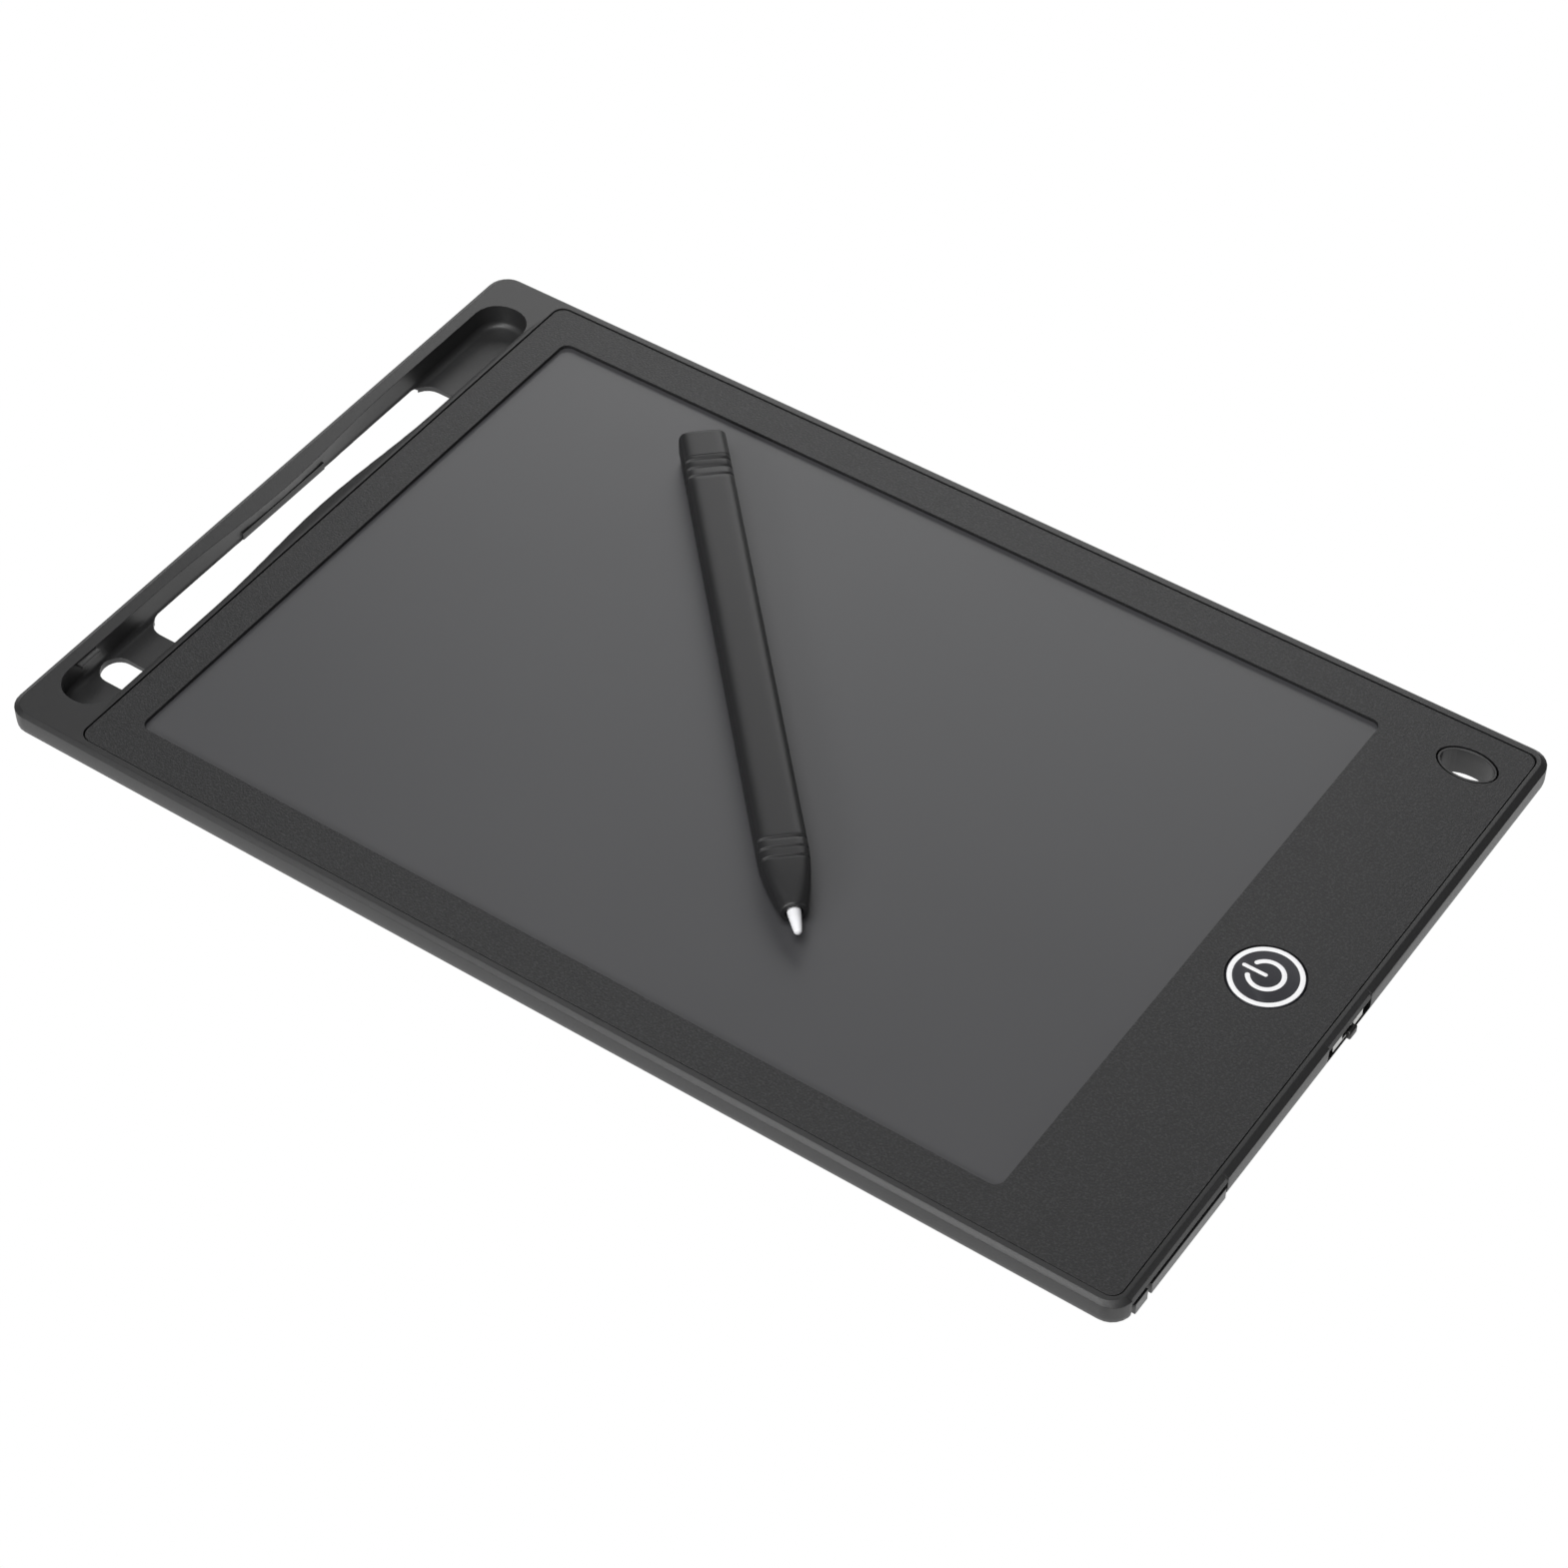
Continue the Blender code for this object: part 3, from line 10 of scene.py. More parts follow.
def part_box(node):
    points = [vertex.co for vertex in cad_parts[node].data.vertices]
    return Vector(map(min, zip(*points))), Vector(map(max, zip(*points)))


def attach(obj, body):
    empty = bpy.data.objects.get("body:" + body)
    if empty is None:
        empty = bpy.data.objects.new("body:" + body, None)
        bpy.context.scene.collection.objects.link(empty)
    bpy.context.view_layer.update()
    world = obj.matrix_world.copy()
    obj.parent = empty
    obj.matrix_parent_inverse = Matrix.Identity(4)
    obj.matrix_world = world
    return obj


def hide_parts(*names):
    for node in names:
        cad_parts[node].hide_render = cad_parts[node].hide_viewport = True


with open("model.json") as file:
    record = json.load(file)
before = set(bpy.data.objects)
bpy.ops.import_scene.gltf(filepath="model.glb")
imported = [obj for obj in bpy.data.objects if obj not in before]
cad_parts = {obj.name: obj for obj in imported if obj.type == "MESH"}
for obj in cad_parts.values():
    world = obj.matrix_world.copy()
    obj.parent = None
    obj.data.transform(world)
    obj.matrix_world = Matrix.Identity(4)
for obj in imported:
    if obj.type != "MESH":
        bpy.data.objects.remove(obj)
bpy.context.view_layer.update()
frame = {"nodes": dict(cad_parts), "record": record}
nodes = frame["nodes"]
mm = 0.001
print("lcd writing tablet: frame loaded with", len(nodes), "nodes")


def addObject(name, data):
    item = bpy.data.objects.new(name, data)
    bpy.context.scene.collection.objects.link(item)
    return item


# Camera, as in the photograph: a 94 mm lens, 47 degrees above the table, its place in millimetres
cameraView = {
    "place": (-401.39, -282.65, 516.78),
    "forward": (0.56007, 0.39176, -0.72997),
    "right": (0.5705, -0.8213, -0.0031),
    "focalPixels": 4102.33,
    "framePixels": 1569,
    "sensorMm": 36.0,
}


def makeCamera(look):
    # The camera's own axes are the columns: right, up, and backwards
    forward = Vector(look["forward"]).normalized()
    right = Vector(look["right"])
    right = (right - forward * right.dot(forward)).normalized()
    turn = Matrix((right, right.cross(forward), -forward)).transposed().to_4x4()
    lens = bpy.data.cameras.new("photoCamera")
    lens.sensor_width = look["sensorMm"]
    lens.lens = look["focalPixels"] / look["framePixels"] * look["sensorMm"]
    camera = addObject("photoCamera", lens)
    camera.matrix_world = Matrix.Translation(Vector(look["place"]) * mm) @ turn
    bpy.context.scene.camera = camera


makeCamera(cameraView)
print("camera placed")


# Nodes and colours

def linearColour(hexText):
    # sRGB to linear: c / 12.92 below 0.04045, else ((c + 0.055) / 1.055) to the power 2.4
    values = [int(hexText[i:i + 2], 16) / 255 for i in (1, 3, 5)]
    return tuple(c / 12.92 if c <= 0.04045 else ((c + 0.055) / 1.055) ** 2.4 for c in values) + (1.0,)


def emptyTree(owner):
    # The node tree of a material or of the world, with nothing in it yet
    owner.use_nodes = True
    owner.node_tree.nodes.clear()
    return owner.node_tree


def addNode(tree, kind, inputs=None, **settings):
    # One node: its own settings by name, and its inputs as values or as another node's socket
    node = tree.nodes.new(kind)
    for key, value in settings.items():
        setattr(node, key, value)
    for key, value in (inputs or {}).items():
        if isinstance(value, bpy.types.NodeSocket):
            tree.links.new(value, node.inputs[key])
        else:
            node.inputs[key].default_value = value
    return node


def startMaterial(look):
    # A material with its shader and the piece's own coordinates, and no pattern yet
    material = bpy.data.materials.new(look["name"])
    tree = emptyTree(material)
    shader = addNode(tree, "ShaderNodeBsdfPrincipled", {
        "Base Color": linearColour(look["base"]), "Roughness": look["roughness"]})
    if "ior" in look:
        shader.inputs["IOR"].default_value = look["ior"]
    if "metallic" in look:
        shader.inputs["Metallic"].default_value = look["metallic"]
    addNode(tree, "ShaderNodeOutputMaterial", {"Surface": shader.outputs[0]})
    place = addNode(tree, "ShaderNodeTexCoord")
    return material, tree, shader, place.outputs["Object"]


def unevenSurface(tree, shader, look, shadePattern, roughPattern, heightPattern, patternMm):
    # The shade runs from dark to base with one pattern, roughness spreads as far both ways with
    # the next, and bumps rise with the last, as high as a share of that pattern's own width
    shade = addNode(tree, "ShaderNodeMixRGB", {
        "Fac": shadePattern.outputs["Fac"],
        "Color1": linearColour(look["dark"]), "Color2": linearColour(look["base"])})
    rough = addNode(tree, "ShaderNodeMapRange", {
        "Value": roughPattern.outputs["Fac"],
        "To Min": look["roughness"] - look["roughSpread"], "To Max": look["roughness"] + look["roughSpread"]})
    bump = addNode(tree, "ShaderNodeBump", {
        "Height": heightPattern.outputs["Fac"],
        "Strength": look["bump"], "Distance": patternMm * mm * look["bumpShare"]})
    tree.links.new(shade.outputs[0], shader.inputs["Base Color"])
    tree.links.new(rough.outputs[0], shader.inputs["Roughness"])
    tree.links.new(bump.outputs[0], shader.inputs["Normal"])
    return shade


# What each moulded piece is made of, with its patterns' widths in millimetres. A real mould grain
# is nearer 0.1 mm, too fine to show from here, so it is drawn up to four times as coarse.
plastics = {
    # Fine matte mould: an even surface with hardly any painted glint on its grain
    "housing": {"name": "absMouldedFineMatte", "base": "#292929", "dark": "#272728", "glintAndFleck": "#3A3A3B",
                "roughness": 0.43, "ior": 1.55, "grainMm": 0.30, "cloudMm": 22.0, "glintAndFleckMm": 0.5,
                "glintAndFleckFrom": 0.66, "glintAndFleckShare": 0.20, "bump": 0.12},
    # Spark-eroded mould: a crisp grain, with a painted glint on many of its tips
    "panel": {"name": "absMouldedSparkEroded", "base": "#1E1E1F", "dark": "#1C1C1D", "glintAndFleck": "#3B3B3C",
              "roughness": 0.48, "ior": 1.51, "grainMm": 0.36, "cloudMm": 14.0, "glintAndFleckMm": 0.42,
              "glintAndFleckFrom": 0.52, "glintAndFleckShare": 0.36, "bump": 0.70},
    # Satin mould: smoother than the panel, and faintly blue
    "button": {"name": "absMouldedSatin", "base": "#2A2A30", "dark": "#28282D", "glintAndFleck": "#3C3C42",
               "roughness": 0.50, "ior": 1.48, "grainMm": 0.35, "cloudMm": 8.0, "glintAndFleckMm": 0.5,
               "glintAndFleckFrom": 0.66, "glintAndFleckShare": 0.15, "bump": 0.12},
    # Smoother mould: the drawer and its catch are a little glossier than the wall beside them
    "drawer": {"name": "absMouldedSatinDrawer", "base": "#343435", "dark": "#323233", "glintAndFleck": "#464647",
               "roughness": 0.34, "ior": 1.60, "grainMm": 0.30, "cloudMm": 12.0, "glintAndFleckMm": 0.5,
               "glintAndFleckFrom": 0.66, "glintAndFleckShare": 0.20, "bump": 0.10},
    # Satin mould: one long soft sheen and almost no grain
    "stylus": {"name": "absMouldedSatinStylus", "base": "#232324", "dark": "#212122", "glintAndFleck": "#333334",
               "roughness": 0.43, "ior": 1.49, "grainMm": 0.30, "cloudMm": 10.0, "glintAndFleckMm": 0.6,
               "glintAndFleckFrom": 0.68, "glintAndFleckShare": 0.12, "bump": 0.08},
    # Black nylon: dense, dark and slightly waxy
    "knob": {"name": "nylonMouldedBlack", "base": "#1C1C1C", "dark": "#181818", "glintAndFleck": "#343434",
             "roughness": 0.40, "ior": 1.53, "grainMm": 0.30, "cloudMm": 4.0, "glintAndFleckMm": 0.4,
             "glintAndFleckFrom": 0.66, "glintAndFleckShare": 0.10, "bump": 0.10},
    # Turned acetal: clean white with faint milky clouds
    "nib": {"name": "acetalTurnedWhite", "base": "#FAFAFC", "dark": "#F2F2F5", "glintAndFleck": "#FEFEFE",
            "roughness": 0.38, "ior": 1.48, "grainMm": 0.35, "cloudMm": 2.5, "glintAndFleckMm": 0.5,
            "glintAndFleckFrom": 0.62, "glintAndFleckShare": 0.30, "bump": 0.06},
    # Natural nylon: cream, dull and a little mottled
    "socket": {"name": "nylonMouldedCream", "base": "#D9D2BC", "dark": "#CDC5AE", "glintAndFleck": "#E8E2D0",
               "roughness": 0.52, "ior": 1.53, "grainMm": 0.25, "cloudMm": 3.0, "glintAndFleckMm": 0.4,
               "glintAndFleckFrom": 0.62, "glintAndFleckShare": 0.25, "bump": 0.12},
    # Epoxy with mineral filler: near-black and dull, with pale grains
    "epoxy": {"name": "epoxyMouldedChip", "base": "#1E1E1F", "dark": "#1A1A1B", "glintAndFleck": "#3A3A3A",
              "roughness": 0.46, "ior": 1.55, "grainMm": 0.20, "cloudMm": 3.0, "glintAndFleckMm": 0.3,
              "glintAndFleckFrom": 0.62, "glintAndFleckShare": 0.25, "bump": 0.20},
    # Sintered ceramic: chalky tan and granular
    "ceramic": {"name": "ceramicSinteredTan", "base": "#AD9468", "dark": "#9C8359", "glintAndFleck": "#C2AC84",
                "roughness": 0.55, "ior": 1.60, "grainMm": 0.15, "cloudMm": 0.8, "glintAndFleckMm": 0.2,
                "glintAndFleckFrom": 0.60, "glintAndFleckShare": 0.30, "bump": 0.25},
    # Acrylic foam tape: very dull, with fine open cells
    "tape": {"name": "acrylicFoamTape", "base": "#282828", "dark": "#202020", "glintAndFleck": "#383838",
             "roughness": 0.78, "ior": 1.47, "grainMm": 0.40, "cloudMm": 5.0, "glintAndFleckMm": 0.5,
             "glintAndFleckFrom": 0.60, "glintAndFleckShare": 0.20, "bump": 0.35},
    # Rolled polystyrene: flat and dull, with broad faint clouds
    "backing": {"name": "polystyreneRolledSheet", "base": "#222223", "dark": "#1D1D1E", "glintAndFleck": "#2E2E2F",
                "roughness": 0.60, "ior": 1.58, "grainMm": 0.40, "cloudMm": 18.0, "glintAndFleckMm": 0.5,
                "glintAndFleckFrom": 0.62, "glintAndFleckShare": 0.15, "bump": 0.12},
}
# The same for all of them: how fine each pattern breaks up, and how far it acts
plasticPatterns = {"grainDetail": 2.0, "grainBreak": 0.55, "cloudDetail": 3.0, "cloudBreak": 0.5,
                   "glintAndFleckDetail": 1.0, "glintAndFleckBreak": 0.4, "glintAndFleckFade": 0.12,
                   "roughSpread": 0.06, "bumpShare": 0.25}


def mouldedPlastic(look):
    # Moulded plastic takes an eroded grain from its mould, which gives fine bumps, and its flow
    # gives faint clouds of shade. A few grain tips are painted paler, as a painted glint.
    material, tree, shader, place = startMaterial(look)
    grain = addNode(tree, "ShaderNodeTexNoise", {
        "Vector": place, "Scale": 1 / (look["grainMm"] * mm),
        "Detail": look["grainDetail"], "Roughness": look["grainBreak"]})
    cloud = addNode(tree, "ShaderNodeTexNoise", {
        "Vector": place, "Scale": 1 / (look["cloudMm"] * mm),
        "Detail": look["cloudDetail"], "Roughness": look["cloudBreak"]})
    glintAndFleck = addNode(tree, "ShaderNodeTexNoise", {
        "Vector": place, "Scale": 1 / (look["glintAndFleckMm"] * mm),
        "Detail": look["glintAndFleckDetail"], "Roughness": look["glintAndFleckBreak"]})
    shade = unevenSurface(tree, shader, look, cloud, grain, grain, look["grainMm"])
    # Paler specks where this pattern is high: a painted glint on grain tips, and in the epoxy and the ceramic
    # also their own pale grains
    glintAndFleckMask = addNode(tree, "ShaderNodeMapRange", {
        "Value": glintAndFleck.outputs["Fac"], "From Min": look["glintAndFleckFrom"],
        "From Max": look["glintAndFleckFrom"] + look["glintAndFleckFade"], "To Max": look["glintAndFleckShare"]})
    glintAndFleckColour = addNode(tree, "ShaderNodeMixRGB", {
        "Fac": glintAndFleckMask.outputs[0], "Color1": shade.outputs[0], "Color2": linearColour(look["glintAndFleck"])})
    tree.links.new(glintAndFleckColour.outputs[0], shader.inputs["Base Color"])
    return material


# Liquid crystal writing film: polyester with a matte hard coat. The layer under it gives a dark
# grey that is a little uneven over a few centimetres, and the coat a soft, wide sheen. Its fine
# texture is far below 0.1 mm and is drawn at 0.5 mm.
filmLook = {
    "name": "polyesterHardCoatedFilm", "base": "#474749", "dark": "#444446", "roughness": 0.39, "ior": 1.50,
    "cloudMm": 46.0, "cloudDetail": 2.0, "cloudBreak": 0.45, "roughSpread": 0.04,
    "grainMm": 0.5, "grainDetail": 2.0, "grainBreak": 0.6, "bump": 0.03, "bumpShare": 0.2,
}


def writingFilm(look):
    material, tree, shader, place = startMaterial(look)
    cloud = addNode(tree, "ShaderNodeTexNoise", {
        "Vector": place, "Scale": 1 / (look["cloudMm"] * mm),
        "Detail": look["cloudDetail"], "Roughness": look["cloudBreak"]})
    grain = addNode(tree, "ShaderNodeTexNoise", {
        "Vector": place, "Scale": 1 / (look["grainMm"] * mm),
        "Detail": look["grainDetail"], "Roughness": look["grainBreak"]})
    unevenSurface(tree, shader, look, cloud, cloud, grain, look["grainMm"])
    return material


# Metals: drawn strip that was plated, so fine rolling lines run one way and the plating is even.
# A line's width is in millimetres, coarser than a real one so that it shows, and the line is as
# many times longer as stretch says.
metals = {
    "metal": {"name": "steelNickelPlatedPressed", "base": "#C9C9C7", "dark": "#AFAFAD", "roughness": 0.30,
              "lineMm": 0.12, "stretch": 14.0, "bump": 0.10},
    "contact": {"name": "bronzeNickelPlatedSpring", "base": "#C4C1B6", "dark": "#A9A69B", "roughness": 0.28,
                "lineMm": 0.10, "stretch": 18.0, "bump": 0.12},
}
metalPatterns = {"metallic": 1.0, "lineDetail": 2.0, "roughSpread": 0.08, "bumpShare": 0.3}


def platedMetal(look):
    material, tree, shader, place = startMaterial(look)
    drawn = addNode(tree, "ShaderNodeMapping", {
        "Vector": place, "Scale": (1.0, look["stretch"], look["stretch"])})
    lines = addNode(tree, "ShaderNodeTexNoise", {
        "Vector": drawn.outputs[0], "Scale": 1 / (look["lineMm"] * mm * look["stretch"]),
        "Detail": look["lineDetail"]})
    unevenSurface(tree, shader, look, lines, lines, lines, look["lineMm"])
    return material


# Copper tracks that show as paler ridges, a track and its gap in trackMm: on glass fibre board
# under green solder resist, and laminated in amber polyimide film
trackedSheets = {
    "board": {"name": "solderResistScreened", "base": "#1E5B33", "track": "#2C7443", "roughness": 0.36,
              "trackMm": 0.7896, "bump": 0.25},
    "tail": {"name": "polyimideLaminated", "base": "#B06A22", "track": "#C98A3C", "roughness": 0.34,
             "trackMm": 0.6580, "bump": 0.20},
}
trackPatterns = {"waveMetres": math.tau / 20, "wander": 1.2, "wanderDetail": 1.0, "wanderScale": 0.4,
                 "edgeFrom": 0.45, "edgeTo": 0.60, "trackHighMm": 0.03}


def trackedSheet(look):
    # A wave texture of scale 1 repeats every tau / 20 metres, so its scale is that over the spacing
    material, tree, shader, place = startMaterial(look)
    tracks = addNode(tree, "ShaderNodeTexWave", {
        "Vector": place, "Scale": look["waveMetres"] / (look["trackMm"] * mm), "Distortion": look["wander"],
        "Detail": look["wanderDetail"], "Detail Scale": look["wanderScale"]}, bands_direction="X")
    edge = addNode(tree, "ShaderNodeMapRange", {
        "Value": tracks.outputs["Fac"], "From Min": look["edgeFrom"], "From Max": look["edgeTo"]})
    shade = addNode(tree, "ShaderNodeMixRGB", {
        "Fac": edge.outputs[0], "Color1": linearColour(look["base"]), "Color2": linearColour(look["track"])})
    bump = addNode(tree, "ShaderNodeBump", {
        "Height": edge.outputs[0], "Strength": look["bump"], "Distance": look["trackHighMm"] * mm})
    tree.links.new(shade.outputs[0], shader.inputs["Base Color"])
    tree.links.new(bump.outputs[0], shader.inputs["Normal"])
    return material


# White pad printing ink: matte, a little thinner and greyer where the pad lifted off
inkLook = {"name": "inkPadPrintedWhite", "base": "#FEFEFE", "dark": "#F6F6F8", "roughness": 0.55,
           "grainMm": 0.6, "grainDetail": 2.0, "grainBreak": 0.5}


def printedInk(look):
    material, tree, shader, place = startMaterial(look)
    grain = addNode(tree, "ShaderNodeTexNoise", {
        "Vector": place, "Scale": 1 / (look["grainMm"] * mm),
        "Detail": look["grainDetail"], "Roughness": look["grainBreak"]})
    shade = addNode(tree, "ShaderNodeMixRGB", {
        "Fac": grain.outputs["Fac"],
        "Color1": linearColour(look["dark"]), "Color2": linearColour(look["base"])})
    tree.links.new(shade.outputs[0], shader.inputs["Base Color"])
    return material


finishes = {slot: mouldedPlastic({**plasticPatterns, **look}) for slot, look in plastics.items()}
finishes.update({slot: platedMetal({**metalPatterns, **look}) for slot, look in metals.items()})
finishes.update({slot: trackedSheet({**trackPatterns, **look}) for slot, look in trackedSheets.items()})
finishes["film"] = writingFilm(filmLook)
inkFinish = printedInk(inkLook)
slotOf = {row["node"]: row["material_slot"] for row in frame["record"]["subparts"]}
bodies = frame["record"]["behaviour"]["bodies"]
bodyOf = {node: body for body, members in bodies.items() for node in members}
for name, node in nodes.items():
    node.data.materials.clear()
    node.data.materials.append(finishes[slotOf[name]])
print("materials made:", len(finishes) + 1)


# Meshes: points closer than these lengths in metres become one, faces flatter than flatWithin
# degrees are joined, and smooth shading stops at edges sharper than sharpAngle degrees
newMeshLimits = {"mergeWithin": 1e-6, "sliverEdge": 1e-7, "sharpAngle": 40}
cadMeshLimits = {"mergeWithin": 2e-6, "flatWithin": 0.03}


def surfaceGrid(points):
    # Faces between neighbouring rows of a grid of points, whose columns wrap round
    rows, columns = points.shape[:2]
    index = np.arange(rows * columns).reshape(rows, columns)
    after = np.roll(index, -1, axis=1)
    return np.stack([index[:-1], after[:-1], after[1:], index[1:]], axis=-1).reshape(-1, 4)


def pole(row):
    # A row that closes an end: as many points as the given row has, all at its middle
    return np.broadcast_to(row.mean(0), row.shape)[None]


def makePiece(name, points, finish, body, slot, *replaced):
    # A mesh from whole arrays, doubles merged and normals turned outwards, riding on its body
    mesh = bpy.data.meshes.new(name)
    mesh.from_pydata(points.reshape(-1, 3).tolist(), [], surfaceGrid(points).tolist())
    work = bmesh.new()
    work.from_mesh(mesh)
    bmesh.ops.remove_doubles(work, verts=work.verts, dist=newMeshLimits["mergeWithin"])
    bmesh.ops.dissolve_degenerate(work, edges=work.edges, dist=newMeshLimits["sliverEdge"])
    bmesh.ops.recalc_face_normals(work, faces=work.faces)
    work.to_mesh(mesh)
    work.free()
    mesh.materials.append(finish)
    mesh.shade_smooth()
    mesh.set_sharp_from_angle(angle=math.radians(newMeshLimits["sharpAngle"]))
    piece = addObject(name, mesh)
    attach(piece, body)
    if replaced:
        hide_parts(*replaced)


# CAD pieces whose edges get a small moulded radius, in millimetres
edgeRadii = {
    "rear_housing": {"radius": 0.08, "steps": 2, "angle": 30},
    "front_panel": {"radius": 0.05, "steps": 2, "angle": 40},
    "erase_button": {"radius": 0.10, "steps": 2, "angle": 40},
    "battery_drawer": {"radius": 0.10, "steps": 2, "angle": 40},
    "drawer_catch": {"radius": 0.10, "steps": 2, "angle": 40},
    "slide_switch_case": {"radius": 0.10, "steps": 2, "angle": 40},
    "slide_switch_knob": {"radius": 0.08, "steps": 2, "angle": 50},
}


def softenEdges(name, look):
    # A merged copy of the node, its flat areas joined and its edges rounded by a Bevel
    mesh = nodes[name].data.copy()
    work = bmesh.new()
    work.from_mesh(mesh)
    bmesh.ops.remove_doubles(work, verts=work.verts, dist=cadMeshLimits["mergeWithin"])
    bmesh.ops.dissolve_limit(work, angle_limit=math.radians(cadMeshLimits["flatWithin"]),
                             verts=work.verts, edges=work.edges)
    work.to_mesh(mesh)
    work.free()
    mesh.shade_smooth()
    mesh.set_sharp_from_angle(angle=math.radians(look["angle"]))
    piece = addObject("soft_" + name, mesh)
    bevel = piece.modifiers.new("mouldedRadius", "BEVEL")
    bevel.width = look["radius"] * mm
    bevel.segments = look["steps"]
    bevel.limit_method = "ANGLE"
    bevel.angle_limit = math.radians(look["angle"])
    bevel.use_clamp_overlap = False
    bevel.harden_normals = True
    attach(piece, bodyOf[name])
    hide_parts(name)


for name, look in edgeRadii.items():
    softenEdges(name, look)
print("edges softened on", len(edgeRadii), "pieces")


# Symbol on the erase button: a ring, an arc that is open at the top and a bar in the opening, in
# millimetres from the button's middle, with half the opening in degrees
symbol = {
    "ringRadius": 6.02, "ringStroke": 0.88,
    "arcRadius": 3.03, "arcStroke": 0.84, "arcOpening": 31, "markShift": (0.26, 0.18),
    "barFrom": -0.30, "barTo": 4.45, "barStroke": 0.74,
    "inkThickness": 0.03, "inkEdge": 0.06, "curveSteps": 96, "barSteps": 12, "endSteps": 15,
}
buttonLow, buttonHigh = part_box("erase_button")
buttonMiddle = np.array([(buttonLow.x + buttonHigh.x) / 2, (buttonLow.y + buttonHigh.y) / 2, buttonHigh.z])


def inkRing(radius, stroke, look):
    # A flat ring: at angle a and across-profile (o, h) the point is ((r + o) cos a, (r + o) sin a, h)
    half = stroke / 2
    across = np.array([-half, -half, -half + look["inkEdge"], half - look["inkEdge"], half, half])
    height = np.array([-1.0, 0.0, 1.0, 1.0, 0.0, -1.0]) * look["inkThickness"]
    angle = np.linspace(0, math.tau, look["curveSteps"], endpoint=False)[:, None]
    points = np.stack([(radius + across) * np.cos(angle), (radius + across) * np.sin(angle),
                       height + 0 * angle], axis=-1)
    return np.concatenate([points, points[:1]])


def inkStroke(spine, stroke, look):
    # A round-ended stroke: each outline point is its foot on the spine plus half the stroke along
    # the outward direction, and rings of them go from the spine to the edge and back underneath
    step = np.gradient(spine, axis=0)
    step /= np.linalg.norm(step, axis=1, keepdims=True)
    side = np.stack([step[:, 1], -step[:, 0]], axis=1)
    turn = np.linspace(0, math.pi, look["endSteps"] + 2)[1:-1, None]
    endCap = np.cos(turn) * side[-1] + np.sin(turn) * step[-1]
    startCap = -np.cos(turn) * side[0] - np.sin(turn) * step[0]
    feet = np.concatenate([spine, np.repeat(spine[-1:], look["endSteps"], 0),
                           spine[::-1], np.repeat(spine[:1], look["endSteps"], 0)])
    out = np.concatenate([side, endCap, -side[::-1], startCap])
    half = stroke / 2
    reach = np.array([0.0, half - look["inkEdge"], half, half, 0.0])[:, None, None]
    height = np.array([1.0, 1.0, 0.0, -1.0, -1.0])[:, None, None] * look["inkThickness"]
    flat = feet + out * reach
    return np.concatenate([flat, height + 0 * flat[..., :1]], axis=-1)


def makeSymbol(look):
    opening = math.radians(look["arcOpening"])
    arc = np.linspace(math.pi / 2 + opening, math.pi / 2 + math.tau - opening, look["curveSteps"])
    arcSpine = look["arcRadius"] * np.column_stack([np.cos(arc), np.sin(arc)]) + look["markShift"]
    barEnd = look["barStroke"] / 2
    reach = np.linspace(look["barFrom"] + barEnd, look["barTo"] - barEnd, look["barSteps"])
    barSpine = np.column_stack([0 * reach, reach]) + look["markShift"]
    strokes = {
        "symbol_ring": inkRing(look["ringRadius"], look["ringStroke"], look),
        "symbol_arc": inkStroke(arcSpine, look["arcStroke"], look),
        "symbol_bar": inkStroke(barSpine, look["barStroke"], look),
    }
    for name, points in strokes.items():
        makePiece(name, points * mm + buttonMiddle, inkFinish, "button", "button")


makeSymbol(symbol)
print("button symbol printed")


# Stylus, in millimetres: where its tip is, its turn about Z in degrees, its section, and places
# along it from the tip
stylus = {
    "tip": (-37.58, -30.90, 8.28), "turn": 43.06, "length": 121.6, "width": 8.80, "height": 6.49,
    "squareness": 4.8, "noseEnd": 4.6, "noseRadius": 2.4, "noseLength": 13.5, "capStart": 114.5,
    "around": 96,
}


def placeStylus(along, wide, high):
    # Points from the distance along the axis and the offsets across it and up from it
    turn = math.radians(stylus["turn"])
    tip = stylus["tip"]
    x = tip[0] + along * math.cos(turn) - wide * math.sin(turn)
    y = tip[1] + along * math.sin(turn) + wide * math.cos(turn)
    return np.stack([x, y, tip[2] + high], axis=-1) * mm


def superellipse(power, angle):
    # Unit superellipse: cos and sin of the angle, each to the power 2 / n with its sign kept
    share = 2 / power
    return (np.sign(np.cos(angle)) * np.abs(np.cos(angle)) ** share,
            np.sign(np.sin(angle)) * np.abs(np.sin(angle)) ** share)


def stylusSkin(along, shrink, look):
    # The nose swells by the sine of its share of the way, from a circle to the barrel's section
    angle = np.linspace(0, math.tau, look["around"], endpoint=False)[None, :]
    reach = np.clip((along - look["noseEnd"]) / look["noseLength"], 0, 1)[:, None]
    swell = np.sin(math.pi / 2 * reach)
    across, up = superellipse(2 + (look["squareness"] - 2) * swell, angle)
    wide = look["noseRadius"] + (look["width"] / 2 - look["noseRadius"]) * swell - shrink[:, None]
    high = look["noseRadius"] + (look["height"] / 2 - look["noseRadius"]) * swell - shrink[:, None]
    return placeStylus(along[:, None] + 0 * angle, wide * across, high * up)


# Insets are how far in from the skin, and the steps are how many rings of points there are
barrel = {
    "grooves": (14.6, 16.7, 18.8, 109.05, 111.15, 113.25), "grooveDepth": 0.26, "grooveWidth": 0.70,
    "boreRadius": 1.58, "boreRim": 0.14, "boreEndInset": 2.39, "nibRecess": 1.6,
    "capGap": 0.1, "backEdge": 0.10, "backInset": 1.2,
    "noseSteps": 40, "sideSteps": 60, "grooveSteps": 13,
}


